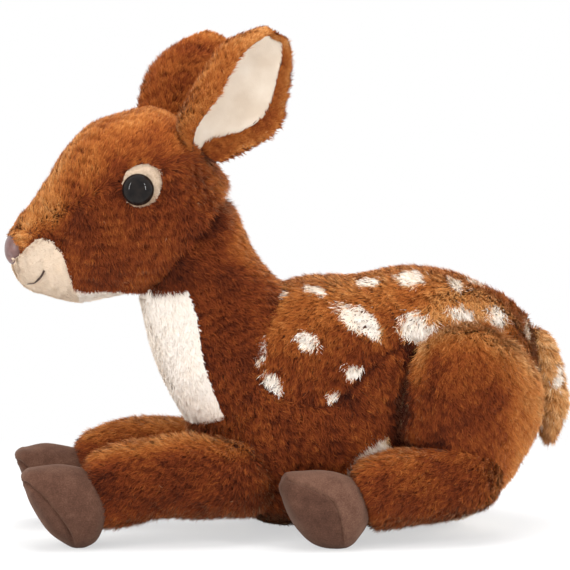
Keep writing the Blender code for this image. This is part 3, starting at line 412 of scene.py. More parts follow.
NECK_LEAN = math.radians(22)
neck_x, neck_z = torso_place(0.243, 0.424)
neck = Bag((neck_x, 0, neck_z), (-math.sin(NECK_LEAN), 0, math.cos(NECK_LEAN)),
           (math.cos(NECK_LEAN), 0, math.sin(NECK_LEAN)), (0.148, 0.107, 0.094),
           ((0.00, 0.470, -0.410, 0.47), (0.13, 0.477, -0.467, 0.48),
            (0.26, 0.458, -0.495, 0.465), (0.39, 0.410, -0.500, 0.43),
            (0.52, 0.336, -0.477, 0.393), (0.65, 0.270, -0.444, 0.362),
            (0.78, 0.262, -0.400, 0.347), (0.91, 0.262, -0.355, 0.337),
            (1.00, 0.243, -0.318, 0.316)), (0.12, 0.15))

# %% The head
HEAD_LENGTH, HEAD_HEIGHT, HEAD_WIDTH = 0.132, 0.110, 0.090
HEAD_SLOPE = math.radians(14.6)
head = Bag(neck.at(1, 0) + np.array([0.203, 0, -0.073]) * HEAD_LENGTH,
           (-math.cos(HEAD_SLOPE), 0, -math.sin(HEAD_SLOPE)),
           (-math.sin(HEAD_SLOPE), 0, math.cos(HEAD_SLOPE)),
           (HEAD_LENGTH, HEAD_HEIGHT, HEAD_WIDTH),
           ((0.00, 0.564, -0.310, 0.42), (0.28, 0.610, -0.380, 0.478),
            (0.38, 0.614, -0.380, 0.50), (0.48, 0.600, -0.368, 0.494),
            (0.57, 0.545, -0.364, 0.467), (0.645, 0.482, -0.355, 0.422),
            (0.74, 0.373, -0.332, 0.344), (0.82, 0.290, -0.286, 0.289),
            (0.905, 0.232, -0.227, 0.25), (1.00, 0.182, -0.200, 0.222)), (0.22, 0.10))
throat, nape = neck.at(0.655, -0.444), neck.at(0.944, 0.241)
neckline = unit(nape - throat)
head_side = np.array([-neckline[2], 0, neckline[0]])
head_side *= np.sign((head.at(0.4, 0) - throat) @ head_side)

# %% Forelegs and their hooves
SIDES = {"left": -1, "right": 1}
# Length, height and width of each bag.
FORELEG, FORE_HOOF = (0.1185, 0.054, 0.050), (0.051, 0.045, 0.039)
THIGH, SHANK, HIND_HOOF = (0.096, 0.112, 0.078), (0.098, 0.052, 0.044), (0.052, 0.044, 0.040)
TAIL = (0.0747, 0.026, 0.040)
LEVEL, UPRIGHT = (1, 0, 0), (0, 0, 1)


def foreleg_bag(side):
    """A foreleg that reaches forward from the shoulder, dropping and splaying a little."""
    x, z = torso_place(0.24, 0.249)
    drop, splay = math.radians(4.4), math.radians(3)
    return Bag((x, side * 0.322 * TORSO_WIDTH, z),
               (-math.cos(drop), side * math.sin(splay), -math.sin(drop)), UPRIGHT, FORELEG,
               ((0.00, 0.36, -0.50, 0.36), (0.13, 0.46, -0.48, 0.43), (0.27, 0.51, -0.45, 0.475),
                (0.44, 0.575, -0.425, 0.48), (0.61, 0.59, -0.39, 0.455), (0.78, 0.56, -0.41, 0.43),
                (0.90, 0.50, -0.42, 0.41), (1.00, 0.42, -0.40, 0.38)), (0.15, 0.10))


def fore_hoof_bag(leg):
    """A hoof on the wrist end of its leg; the spine is level, from the tip to the heel."""
    wrist = leg.at(1, 0)
    return Bag((wrist[0] - FORE_HOOF[0] * 0.61, wrist[1], FORE_HOOF[1] * 0.541), LEVEL, UPRIGHT,
               FORE_HOOF,
               ((0.00, 0.455, 0.290, 0.32), (0.12, 0.467, -0.010, 0.41),
                (0.24, 0.490, -0.260, 0.46), (0.47, 0.500, -0.490, 0.50),
                (0.64, 0.467, -0.552, 0.50), (0.84, 0.378, -0.444, 0.47),
                (1.00, 0.222, -0.222, 0.39)), (0.10, 0.22))


# %% Hind legs and their hooves
def thigh_bag(side):
    """A thigh, half sunk in the side of the body."""
    x, z = torso_place(0.521, 0.474)
    return Bag((x, side * 0.345 * TORSO_WIDTH, z), LEVEL, UPRIGHT, THIGH,
               ((0.00, 0.365, -0.31, 0.41), (0.25, 0.460, -0.44, 0.475), (0.50, 0.500, -0.50, 0.49),
                (0.75, 0.460, -0.44, 0.46), (1.00, 0.365, -0.29, 0.385)), (0.40, 0.45))


def shank_bag(side, thigh):
    """A shank, from the pastern in front up to the hock under the thigh."""
    start = (thigh.start[0] - 0.25 * THIGH[0], thigh.start[1] + side * 0.31 * THIGH[2],
             0.577 * SHANK[1])
    rise, toe_in = math.radians(11.8), math.radians(4)
    return Bag(start, (math.cos(rise), -side * math.sin(toe_in), math.sin(rise)), UPRIGHT, SHANK,
               ((0.00, 0.380, -0.50, 0.43), (0.18, 0.430, -0.53, 0.48), (0.35, 0.420, -0.55, 0.50),
                (0.59, 0.385, -0.575, 0.50), (0.79, 0.385, -0.555, 0.48),
                (0.94, 0.370, -0.42, 0.44), (1.00, 0.350, -0.31, 0.41)), (0.10, 0.22))


def hind_hoof_bag(shank):
    """A hoof on the pastern end of its shank; the spine is level, from the tip to the heel."""
    return Bag((shank.start[0] - HIND_HOOF[0] * 0.77, shank.start[1], HIND_HOOF[1] * 0.501), LEVEL,
               UPRIGHT, HIND_HOOF,
               ((0.00, 0.410, 0.180, 0.30), (0.13, 0.477, -0.136, 0.40),
                (0.27, 0.490, -0.352, 0.45), (0.50, 0.490, -0.512, 0.50),
                (0.72, 0.430, -0.512, 0.50), (0.88, 0.340, -0.386, 0.45),
                (1.00, 0.227, -0.227, 0.38)), (0.10, 0.20))


# %% The tail, and the bags of both sides
tail_x, tail_z = torso_place(0.972, 0.763)
TAIL_HANG = math.radians(7.7)
tail = Bag((tail_x, 0, tail_z), (math.sin(TAIL_HANG), 0, -math.cos(TAIL_HANG)),
           (math.cos(TAIL_HANG), 0, math.sin(TAIL_HANG)), TAIL,
           ((0.00, 0.385, -0.31, 0.30), (0.20, 0.540, -0.35, 0.40), (0.45, 0.650, -0.31, 0.475),
            (0.65, 0.650, -0.27, 0.50), (0.85, 0.460, -0.19, 0.40), (1.00, 0.310, -0.115, 0.25)),
           (0.12, 0.25))

forelegs = {side: foreleg_bag(sign) for side, sign in SIDES.items()}
fore_hooves = {side: fore_hoof_bag(leg) for side, leg in forelegs.items()}
thighs = {side: thigh_bag(sign) for side, sign in SIDES.items()}
shanks = {side: shank_bag(sign, thighs[side]) for side, sign in SIDES.items()}
hind_hooves = {side: hind_hoof_bag(shank) for side, shank in shanks.items()}
for label, bag, node in (("torso", torso, "belly_panel"), ("thigh", thighs["left"], "thigh_left"),
                         ("hoof", hind_hooves["left"], "hind_hoof_left")):
    drawn = bag.surface(40, 40)[0]

# %% [markdown]
# ## Uneven stuffing and tufts
# Nothing on a soft toy is perfectly even: the filling is lumpy, and the hairs of the pile stick
# together in little tufts. Both come from smooth random hills. A sum of waves in random
# directions is a simple way to make such hills, and its slope is known exactly, which the tufts
# need, because their hairs lean uphill.

# %% Smooth random hills
def hills(points, size, seed, count=9):
    """Height and slope of random hills about one size across: sines of the points' distance
    along random directions, added up. The height is mostly between -1 and 1."""
    draw = np.random.default_rng(seed)
    headings = unit(draw.normal(size=(count, 3)))
    waves = headings * (2 * math.pi / size * draw.uniform(0.6, 1.3, (count, 1)))
    angle = points @ waves.T + draw.uniform(0, 2 * math.pi, count)
    scale = math.sqrt(2 / count)
    return np.sin(angle).sum(1) * scale * 0.6, np.cos(angle) @ waves * (scale * size / 2 / math.pi)


def smooth_step(values, low, high):
    """Nothing below low, one above high, and an even ease between."""
    share = np.clip((values - low) / (high - low), 0, 1)
    return share * share * (3 - 2 * share)


# %% Bell curves, outlines and lines
def bell(values, middle, width):
    """One at the middle, falling off both ways as a bell curve of a half width."""
    return np.exp(-((values - middle) / width) ** 2)


def in_outline(points, outline):
    """True where flat points lie inside an outline, by counting how many of its edges a line to
    the right of each point crosses."""
    corners = np.array(outline, float)
    x, y = points[:, 0][:, None], points[:, 1][:, None]
    x1, y1 = corners[:, 0], corners[:, 1]
    x2, y2 = np.roll(x1, -1), np.roll(y1, -1)
    crosses = (y1 > y) != (y2 > y)
    reach = x1 + (y - y1) / np.where(y2 == y1, 1e-12, y2 - y1) * (x2 - x1)
    return (crosses & (x < reach)).sum(1) % 2 == 1


def curved(rows, steps=6):
    """More points on the smooth curve through a border's points."""
    table = np.column_stack([np.arange(len(rows)), np.array(rows, float)])
    return read_rows(table, np.linspace(0, len(rows) - 1, (len(rows) - 1) * steps + 1)).T


def distance_to_line(points, line):
    """How far flat points lie from a bent line: the least distance to any of its pieces."""
    best = np.full(len(points), np.inf)
    for a, b in zip(line[:-1], line[1:]):
        step = b - a
        share = np.clip((points - a) @ step / (step @ step), 0, 1)
        best = np.minimum(best, np.linalg.norm(points - a - share[:, None] * step, axis=1))
    return best


# %% [markdown]
# ## Cloth under the pile
# The woven ground of the pile fabric is hardly seen: it shows only where the hairs part. It is
# still made as a closed, stuffed skin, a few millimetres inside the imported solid, because the
# pile needs that depth, and the ends of the hairs then come out at the solid's surface. Cloth
# simulation is the usual way to puff up a cushion, but here the sections were measured from a
# toy that is already stuffed, so the lumps of the filling are added straight to the points.

# %% Materials and ramps
def new_material(name):
    """A material with its shader, its node tree and the nodes' and links' lists."""
    made = bpy.data.materials.new(name)
    made.use_nodes = True
    shader = made.node_tree.nodes["Principled BSDF"]
    return made, shader, made.node_tree.nodes, made.node_tree.links


def ramp_node(nodes, stops):
    """A colour ramp through stops of place and colour."""
    ramp = nodes.new("ShaderNodeValToRGB")
    while len(ramp.color_ramp.elements) < len(stops):
        ramp.color_ramp.elements.new(0.5)
    for element, (place, colour) in zip(ramp.color_ramp.elements, stops):
        element.position = place
        element.color = (*colour, 1)
    return ramp


# %% Materials from noise
def noise_node(nodes, links, values):
    """Noise over the piece's own coordinates, in metres: the output of its height."""
    where, noise = nodes.new("ShaderNodeTexCoord"), nodes.new("ShaderNodeTexNoise")
    put_values(noise, values)
    links.new(where.outputs["Object"], noise.inputs["Vector"])
    return noise.outputs["Fac"]


def add_bump(nodes, links, shader, height, strength, distance):
    """Small relief from a height."""
    bump = nodes.new("ShaderNodeBump")
    put_values(bump, {"Strength": strength, "Distance": distance})
    links.new(height, bump.inputs["Height"])
    links.new(bump.outputs["Normal"], shader.inputs["Normal"])


def add_tone(nodes, links, shader, value, stops):
    """The base colour, read from a ramp by a value."""
    ramp = ramp_node(nodes, stops)
    links.new(value, ramp.inputs["Fac"])
    links.new(ramp.outputs["Color"], shader.inputs["Base Color"])


def noisy_material(name, noise, stops, surface, relief=None, relief_noise=None):
    """A colour ramp read by noise, and relief from a second noise or else from the same one."""
    made, shader, nodes, links = new_material(name)
    height = noise_node(nodes, links, noise)
    add_tone(nodes, links, shader, height, stops)
    if relief_noise:
        height = noise_node(nodes, links, relief_noise)
    if relief:
        add_bump(nodes, links, shader, height, *relief)
    put_values(shader, surface)
    return made


# %% Cloth colours
def cloth_material(name, dark, light, roughness=0.95, scale=900):
    """Two close shades in fine woven noise, with a bump from the same noise."""
    return noisy_material(name, {"Scale": scale, "Detail": 3}, [(0.3, dark), (0.7, light)],
                          {"Roughness": roughness}, relief=(0.4, 0.0003))


brown_ground = cloth_material("brown_ground", (0.070, 0.018, 0.006), (0.130, 0.034, 0.010))
cream_ground = cloth_material("cream_ground", (0.78, 0.68, 0.58), (0.88, 0.80, 0.72))
muzzle_ground = cloth_material("muzzle_ground", (0.60, 0.45, 0.32), (0.70, 0.55, 0.41))

# %% A stuffed piece
LUMP_SIZE, LUMP_DEPTH = 0.035, 0.0008
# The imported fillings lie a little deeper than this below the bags' full size.
DEEPEST = 0.0046
CLOTH_OVER_FLOOR = 0.0008


def dress(piece, materials, replaced, body):
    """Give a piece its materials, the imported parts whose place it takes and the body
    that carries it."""
    for material in materials:
        piece.data.materials.append(material)
    if replaced:
        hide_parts(*replaced)
    if body:
        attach(piece, body)


def stuffed(name, bag, body, nodes_replaced, slot, materials, rings=56, sides=72, inset=0.0050,
            fit=None, cream=None, swell=None, seed=1, filled=False):
    """A closed skin over a bag, moved in and out by low hills for the filling and, where it
    meets a neighbour, pressed flat against it by the fit function. A filled bag's skin stays
    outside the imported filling."""
    points, triangles = bag.surface(rings, sides, inset)
    outward = point_directions(points, triangles)
    lumps = hills(points, LUMP_SIZE, seed)[0] * LUMP_DEPTH
    if swell is not None:
        lumps = lumps + swell(points)
    if filled:
        lumps = np.maximum(lumps, (inset(points) if callable(inset) else inset) - DEEPEST)
    points = points + outward * lumps[:, None]
    pressed = np.zeros(len(points), bool)
    if fit is not None:
        seated = fit(points)
        pressed = np.linalg.norm(seated - points, axis=1) > 1e-6
        points = seated
    points[:, 2] = np.maximum(points[:, 2], CLOTH_OVER_FLOOR)
    piece = put_mesh(name, points, triangles)
    dress(piece, materials, nodes_replaced, body)
    if cream is not None:
        middle = points[triangles].mean(1)
        piece.data.polygons.foreach_set("material_index", cream(middle).astype(np.int32))
    return {"piece": piece, "points": points, "triangles": triangles, "pressed": pressed,
            "outward": point_directions(points, triangles)}


# %% How neighbours press on each other
SEAT, SIDE_SEAT = 0.0004, -0.0034


def beside_torso(points):
    """Points under the body's skin move out sideways until they lie just inside it."""
    local = points - torso.start
    along = np.clip(local @ torso.forward / torso.length, 0.001, 0.999)
    middle, rise, half, closing = torso.section(along)
    high = np.abs(local @ torso.up - middle) / np.maximum(rise * closing, 1e-6)
    wide = half * closing * np.clip(1 - high ** torso.square, 0, 1) ** (1 / torso.square) + SEAT
    moved = points.copy()
    under = torso.inside(points)
    sign = np.sign(points[:, 1].mean())
    moved[under, 1] = sign * np.maximum(np.abs(points[under, 1]), wide[under] + SIDE_SEAT)
    return moved


def past_neckline(points):
    """How far points lie beyond the neckline, on the head's side."""
    return (points - throat) @ head_side


def below_neckline(points):
    """Points on the head's side of the neckline drop straight onto it."""
    return points - np.outer(np.maximum(past_neckline(points) + SEAT, 0), head_side)


def above_neckline(points):
    """Points on the neck's side of the neckline rise straight onto it."""
    return points + np.outer(np.maximum(SEAT - past_neckline(points), 0), head_side)


# %% [markdown]
# ## Which panel is where
# The coat is cut from several fabrics: plain rust on the flanks, spotted rust on the back with a
# lobe over the shoulder, and cream on the belly, the chest, the muzzle and round the eyes. Each
# panel has a border that was read off the photograph, as shares of the bag that it lies on.

# %% Panels of the body and the neck
saddle_border = [torso_place(*row) for row in (
    (0.16, 1.10), (0.17, 0.90), (0.165, 0.75), (0.17, 0.65), (0.22, 0.56), (0.275, 0.54),
    (0.33, 0.515), (0.39, 0.53), (0.435, 0.60), (0.485, 0.70), (0.555, 0.725), (0.665, 0.705),
    (0.775, 0.72), (0.885, 0.69), (1.10, 0.67))]
belly_border = [torso_place(*row) for row in (
    (-0.10, 0.40), (0.06, 0.36), (0.11, 0.18), (0.20, 0.045), (0.32, 0.06), (0.405, 0.268),
    (0.448, 0.345), (0.494, 0.388), (0.535, 0.412), (0.583, 0.425), (0.66, 0.40), (0.80, 0.22),
    (1.10, 0.14))]
saddle_outline = np.vstack([curved(saddle_border), [[saddle_border[-1][0], saddle_border[0][1]]]])
belly_outline = np.vstack([curved(belly_border), [[belly_border[-1][0], -0.03],
                                                  [belly_border[0][0], -0.03]]])
# Borders read straight from the photograph, in its own pixels.
BIB_BORDER = ((120, 289.5), (186, 289.5), (189, 297), (195, 313), (199, 333), (200.5, 347),
              (202.5, 363), (210, 383), (221, 410), (233, 436), (205, 452), (100, 452))
CREASE = curved(((413, 339), (411, 352), (408, 372), (404, 398), (400, 420), (397, 437),
                 (403, 444), (414, 447), (428, 447), (440, 444)))
LOBE_SEAM = curved(((253, 333), (255, 367), (263, 383), (276.5, 394), (289, 397.5), (305, 400),
                    (323, 403), (341, 397), (355, 381), (367, 370), (379, 356), (393, 348),
                    (408, 344)))
THIGH_FOLD = curved(((431, 326), (436, 342), (438, 360), (434, 378), (427, 392)))
THIGH_FRONT = ((320, 416), (345, 412.5), (370, 409), (395, 405), (420, 400.5), (440, 396.5),
               (480, 390))


def near_line(points, line, width):
    """One on a line drawn in the photograph, fading over a width in its pixels."""
    return bell(distance_to_line(near_pixels(points), line), 0, width)


def flat(points):
    """X and Z of points."""
    return points[:, [0, 2]]


def on_saddle(points):
    return in_outline(flat(points), saddle_outline)


def on_belly(points):
    in_crease = (near_line(points, CREASE, 9) > 0.30) & (points[:, 2] > 0.020)
    return in_outline(flat(points), belly_outline) & ~in_crease


def on_bib(points):
    return in_outline(near_pixels(points), BIB_BORDER)


# %% Panels of the head
MUZZLE_BORDER = curved(((-30, 258), (0, 258), (14, 257), (20, 254), (26, 248), (33, 242),
                        (41, 239.5), (49, 241.5), (55, 246), (61, 254), (65, 262), (68, 271),
                        (71, 281), (74.5, 290), (77, 297), (79, 312)))
muzzle_outline = np.vstack([MUZZLE_BORDER, [[79, 340], [-30, 340]]])
CHIN_BORDER = curved(((60, 286), (74, 288.5), (89, 290), (106, 289), (134, 289.5), (160, 290),
                      (187, 290), (230, 290)))
chin_outline = np.vstack([CHIN_BORDER, [[230, 340], [60, 340]]])
PATCH_BORDER = curved(((122.5, 187), (123, 180), (125.5, 173), (132.5, 167.5), (144, 164.5),
                       (153.5, 167), (159.5, 172), (161, 179), (160, 187), (157.5, 194),
                       (152.5, 200.5), (146, 204.5), (138, 206), (130.5, 204.5), (126, 200),
                       (123.5, 194), (122.5, 187)))
EYE_ALONG, EYE_ANGLE = 0.380, math.radians(8.5)
EYE_WIDTH, EYE_BULGE = 0.0182, 0.0068
eye_angles = {"left": EYE_ANGLE, "right": math.pi - EYE_ANGLE}
eye_out = {side: head.outward(EYE_ALONG, angle) for side, angle in eye_angles.items()}
eye_skin = {side: head.skin(EYE_ALONG, angle).ravel() for side, angle in eye_angles.items()}


def on_muzzle(points):
    return in_outline(near_pixels(points), muzzle_outline)


def on_chin(points):
    return in_outline(near_pixels(points), chin_outline) & ~on_muzzle(points)


def on_eye_patch(points):
    """Mostly above and behind the eye, with a thin rim below it."""
    return in_outline(near_pixels(points), PATCH_BORDER)


def cream_on_head(points):
    return on_muzzle(points) | on_chin(points) | on_eye_patch(points)


def on_tail_lining(points):
    return tail.shares(points)[1] < 0.0


def head_inset(points):
    """The short pile of the muzzle, chin and eye patches needs less depth than the long pile."""
    return np.where(on_muzzle(points), 0.0016, np.where(cream_on_head(points), 0.0024, 0.0040))


# %% Fuller and tighter places
def at_neckline(points, reach):
    """One at the neckline, easing to nothing a reach away from it."""
    return 1 - smooth_step(np.abs(past_neckline(points)), 0.0, reach)


def nape_share(points, reach):
    """The same, and only behind the ears."""
    return at_neckline(points, reach) * smooth_step((points - throat) @ neckline, 0.020, 0.060)


def blot(pixels, middle, size):
    """One at a flat place, falling off as an oval bell curve."""
    return np.exp(-(((pixels - middle) / size) ** 2).sum(1))


def head_swell(points):
    """The head is fuller where it runs down into the nape, tighter at the jaw's corner, and
    drawn in below the nose."""
    seen = near_pixels(points)
    crown = bell(seen[:, 0], 92, 36)
    below_nose = 0.15 * blot(seen, (5, 266), (12, 13)) + blot(seen, (6, 259), (8, 6))
    above = smooth_step(head.shares(points)[1], 0.15, 0.45)
    beside = at_neckline(points, 0.026) * (1 - nape_share(points, 0.026))
    return (0.0050 * nape_share(points, 0.026) - 0.0022 * crown * above - 0.0022 * beside
            - 0.0036 * below_nose)


def neck_swell(points):
    """The neck is tighter under the nape and along its back, and fuller under the jaw."""
    back = smooth_step((points - neck.start) @ neck.up, 0.0, 0.03)
    aside = smooth_step(np.abs(points[:, 1]), 0.006, 0.022)
    beside = at_neckline(points, 0.038) * (1 - back) * aside
    return -0.0030 * nape_share(points, 0.020) - 0.0014 * back + 0.0040 * beside


# %% Fuller and tighter places on the body
def before_thigh(points):
    """How far in front of the thigh's front edge points come out, in metres."""
    pixels = near_pixels(points)
    edge = read_rows(THIGH_FRONT, pixels[:, 1])[0]
    return (edge - pixels[:, 0]) * METRES_PER_PIXEL * smooth_step(pixels[:, 1], 328, 345)


DIP = 366


def torso_swell(points):
    """The back dips behind the shoulders and runs up smoothly onto each thigh; there are a deep
    crease in front of the thigh and a shallow one along the seam of the shoulder lobe."""
    across = middle_pixels(points)
    high = smooth_step(points[:, 2], 0.115, 0.140)
    above = smooth_step(points[:, 2], 0.110, 0.124)
    total = -high * (0.0034 * bell(across, DIP, 20) + 0.0016 * bell(across, 458, 20))
    for thigh in thighs.values():
        total += 0.0062 * above * (1 - smooth_step(thigh.level(points), 1.0, 1.55))
    return total - 0.0046 * near_line(points, CREASE, 7) - 0.0024 * near_line(points, LOBE_SEAM, 4)


def thigh_swell(points):
    """In front of the crease the thigh is drawn in under the flank."""
    return -np.clip(1.1 * before_thigh(points) + 0.001, 0, 0.013)


# %% The stuffed pieces
BOTH_GROUNDS = (brown_ground, cream_ground)
bags = {
    "torso": stuffed("torso_cloth", torso, "trunk", ("body_skin", "saddle_panel", "belly_panel"),
                     "brown_plush", BOTH_GROUNDS, rings=96, sides=128, inset=0.0040,
                     cream=on_belly, swell=torso_swell, seed=11, filled=True),
    "neck": stuffed("neck_cloth", neck, None, ("neck", "chest_bib"), "brown_plush", BOTH_GROUNDS,
                    inset=lambda points: np.where(on_bib(points), 0.0026, 0.0050),
                    fit=below_neckline, cream=on_bib, swell=neck_swell, seed=12),
    "head": stuffed("head_cloth", head, "head",
                    ("head_skin", "muzzle", "chin_panel", "eye_patch_left", "eye_patch_right"),
                    "brown_plush", (brown_ground, muzzle_ground), rings=88, sides=112,
                    inset=head_inset, fit=above_neckline, cream=cream_on_head, swell=head_swell,
                    seed=13, filled=True)}
for side in SIDES:
    for label, bag, leg, seed, more in (
            ("foreleg", forelegs[side], "_foreleg", 14, {}),
            ("thigh", thighs[side], "_hindleg", 15, {"rings": 72, "sides": 96,
                                                     "swell": thigh_swell}),
            ("shank", shanks[side], "_hindleg", 16, {})):
        bags[label + "_" + side] = stuffed(label + "_cloth_" + side, bag, side + leg,
                                           (label + "_" + side,), "brown_plush", (brown_ground,),
                                           fit=beside_torso, seed=seed, **more)
bags["tail"] = stuffed("tail_cloth", tail, "scut", ("tail", "tail_lining"), "spotted_plush",
                       BOTH_GROUNDS, rings=40, sides=48, inset=0.0036, cream=on_tail_lining,
                       seed=17)
print("stuffed pieces:", len(bags))

# %% [markdown]
# ## The pile
# Real pile is tens of thousands of fine fibres, darker at the root and paler at the tip, all
# combed one way. Blender's own hair isn't a mesh, so it can't be carried along with the bodies
# or kept in a file that others can open. Each hair here is a thin strip of three triangles that
# leans out from the cloth and bends over along the comb. Its map holds the shade across and the
# place from root to tip upwards, so that one material can colour every panel.

# %% Roots of the hairs
def only(keep, *tables):
    """The rows of some tables for which keep is true."""
    return tuple(table[keep] for table in tables)


def plant(bag, count, keep, seed):
    """Random places on a skin: triangles are drawn by their area, a place in each by two random
    shares, and the places for which keep is false are dropped."""
    draw = np.random.default_rng(seed)
    points, triangles = bag["points"], bag["triangles"]
    free = ~bag["pressed"][triangles].any(1)
    areas = np.linalg.norm(face_directions(points, triangles), axis=1) * free
    total = np.cumsum(areas)
    chosen = np.searchsorted(total, draw.random(count) * total[-1])
    first, second = np.sqrt(draw.random(count)), draw.random(count)
    weights = np.stack([1 - first, first * (1 - second), first * second], -1)
    corners = triangles[np.minimum(chosen, len(triangles) - 1)]
    place = (points[corners] * weights[:, :, None]).sum(1)
    outward = unit((bag["outward"][corners] * weights[:, :, None]).sum(1))
    return only(keep(place), place, outward)


# %% How hairs lie
PILE_LENGTH, HAIR_WIDTH, TUFT_SIZE = 0.0062, 0.00054, 0.0046
HAIR_OVER_FLOOR = 0.0004
# How much of its root's width a hair keeps at the bend, and the corners of its three triangles.
BEND_WIDTH, STRIP = 0.85, np.array([[0, 1, 2], [0, 2, 3], [3, 2, 4]])
# A hair's light comes from the skin's direction by this share and from its own by the rest.
SKIN_LIGHT = 0.85
ANY = slice(None)
hair_total = 0


def strip_off(vectors, normals):
    """The part of vectors that lies flat on the skin."""
    return vectors - normals * (vectors * normals).sum(1)[:, None]


def leaning(along, outward, degrees):
    """Directions that stand so many degrees out of the skin."""
    angle = np.radians(degrees)[:, None]
    return along * np.cos(angle) + outward * np.sin(angle)


# %% Hairs
def grow_pile(name, panel, place, outward, comb, length, shade, material, body, seed,
              lean=(50, 27), width=HAIR_WIDTH, tuft=1.0, stray=0.40, grain=0.050):
    """One strip for each root of the panel: a wide root, a bend half way and a pointed tip. The
    lower half leans lean[0] degrees out of the skin, the upper half lean[1]; tufts turn their
    hairs uphill, and stray is how far single hairs turn off the comb."""
    global hair_total
    draw = np.random.default_rng(seed)
    length, shade = (np.broadcast_to(values, len(place))[panel] for values in (length, shade))
    place, outward, comb = only(panel, place, outward, comb)
    count = len(place)
    length = length * draw.uniform(0.72, 1.12, count)
    height, slope = hills(place, TUFT_SIZE, seed + 1)
    broad, broad_slope = hills(place, TUFT_SIZE * 4.5, seed + 2)
    along = unit(strip_off(comb + broad_slope * 0.30, outward), 1e-9)
    flat = 1 - 0.36 * smooth_step(outward[:, 2], 0.15, 0.85) - 0.16 * smooth_step(shade, 0.6, 0.8)
    spin = draw.normal(0, stray, count)[:, None]
    along = along * np.cos(spin) + np.cross(outward, along) * np.sin(spin)
    lower = leaning(along, outward,
                    lean[0] * flat + 7 * height + 5 * broad + draw.normal(0, 8, count))
    upper = leaning(along, outward,
                    lean[1] * flat + 9 * height + 4 * broad + draw.normal(0, 12, count))
    half = (length / 2)[:, None]
    bend = place + lower * half
    uphill = strip_off(slope, outward)
    tip = bend + upper * half + uphill * (0.30 * tuft * half)
    tip[:, 2], bend[:, 2] = (np.maximum(end[:, 2], HAIR_OVER_FLOOR) for end in (tip, bend))
    across = np.cross(lower, outward + draw.normal(0, 0.14, (count, 3)))
    across *= (width / 2 / np.maximum(np.linalg.norm(across, axis=1), 1e-9))[:, None]
    corners = np.stack([place - across, place + across, bend + across * BEND_WIDTH,
                        bend - across * BEND_WIDTH, tip], 1)
    triangles = (np.arange(count)[:, None, None] * 5 + STRIP).reshape(-1, 3)
    piece = put_mesh(name, corners.reshape(-1, 3), triangles)
    # Hairs high on a tuft are painted lighter and those low in it darker, painted shade between the
    # tufts; the broad hills and the grain vary the tone at random.
    shade = shade + tuft * (0.038 * height + 0.046 * broad) + draw.normal(0, grain, count)
    u = np.clip(shade, 0.01, 0.99)[:, None] + np.array([-0.001, 0.001, 0.001, -0.001, 0.0])
    v = np.broadcast_to([0.02, 0.02, 0.5, 0.5, 0.98], u.shape)
    layer = piece.data.uv_layers.new(name="OFBake")
    corner_uv = np.stack([u, v], -1).reshape(-1, 2)[triangles.ravel()]
    layer.uv.foreach_set("vector", corner_uv.astype(np.float32).ravel())
    light = outward + upper * 0.15 - uphill * (0.50 * tuft) + draw.normal(0, 0.18, (count, 3))
    own = np.cross(across, lower)
    own = unit(own * np.sign((own * outward).sum(1))[:, None], 1e-12)
    light = unit(unit(light) * SKIN_LIGHT + own * (1 - SKIN_LIGHT))
    piece.data.normals_split_custom_set_from_vertices(np.repeat(light, 5, axis=0))
    dress(piece, (material,), (), body)
    hair_total += count
    print(name, count, "hairs", len(triangles), "triangles")
    return piece


# %% [markdown]
# ## Colour of the pile
# One ramp runs through every shade of the coat, from the near black painted into creases as their
# shade, over rust and tan to cream, and each hair picks its place on it. A second ramp paints shade
# on the lower part of the hair, where neighbours shade it, and leaves the tip bright, which gives
# the pale edge that the real fur shows against the light.

# %% Pile material
def pile_material(name, shades):
    """The hair's shade from its map's first number, times a ramp from root to tip by the
    second. Pale hairs let light down, so their roots are paler."""
    made, shader, nodes, links = new_material(name)
    own_map = nodes.new("ShaderNodeUVMap")
    own_map.uv_map = "OFBake"
    parts = nodes.new("ShaderNodeSeparateXYZ")
    links.new(own_map.outputs["UV"], parts.inputs[0])
    shade = ramp_node(nodes, shades)
    links.new(parts.outputs["X"], shade.inputs["Fac"])
    dark, pale = (ramp_node(nodes, [(0.0, root), (0.45, middle), (0.92, (1, 1, 1))])
                  for root, middle in (((0.46, 0.38, 0.33), (0.66, 0.60, 0.56)),
                                       ((0.90, 0.84, 0.78), (0.95, 0.92, 0.89))))
    for ramp in (dark, pale):
        links.new(parts.outputs["Y"], ramp.inputs["Fac"])
    paleness = nodes.new("ShaderNodeMapRange")
    put_values(paleness, {"From Min": 0.60, "From Max": 0.78})
    links.new(parts.outputs["X"], paleness.inputs["Value"])
    rise, times = nodes.new("ShaderNodeMix"), nodes.new("ShaderNodeMix")
    for mix in (rise, times):
        mix.data_type = "RGBA"
    links.new(paleness.outputs["Result"], rise.inputs["Factor"])
    links.new(dark.outputs["Color"], rise.inputs["A"])
    links.new(pale.outputs["Color"], rise.inputs["B"])
    times.blend_type = "MULTIPLY"
    put_values(times, {"Factor": 1.0})
    links.new(shade.outputs["Color"], times.inputs["A"])
    links.new(rise.outputs["Result"], times.inputs["B"])
    links.new(times.outputs["Result"], shader.inputs["Base Color"])
    put_values(shader, {"Roughness": 0.8, "Specular IOR Level": 0.12, "Sheen Weight": 0.34,
                        "Sheen Roughness": 0.38, "Sheen Tint": (1.0, 0.66, 0.36, 1)})
    return made


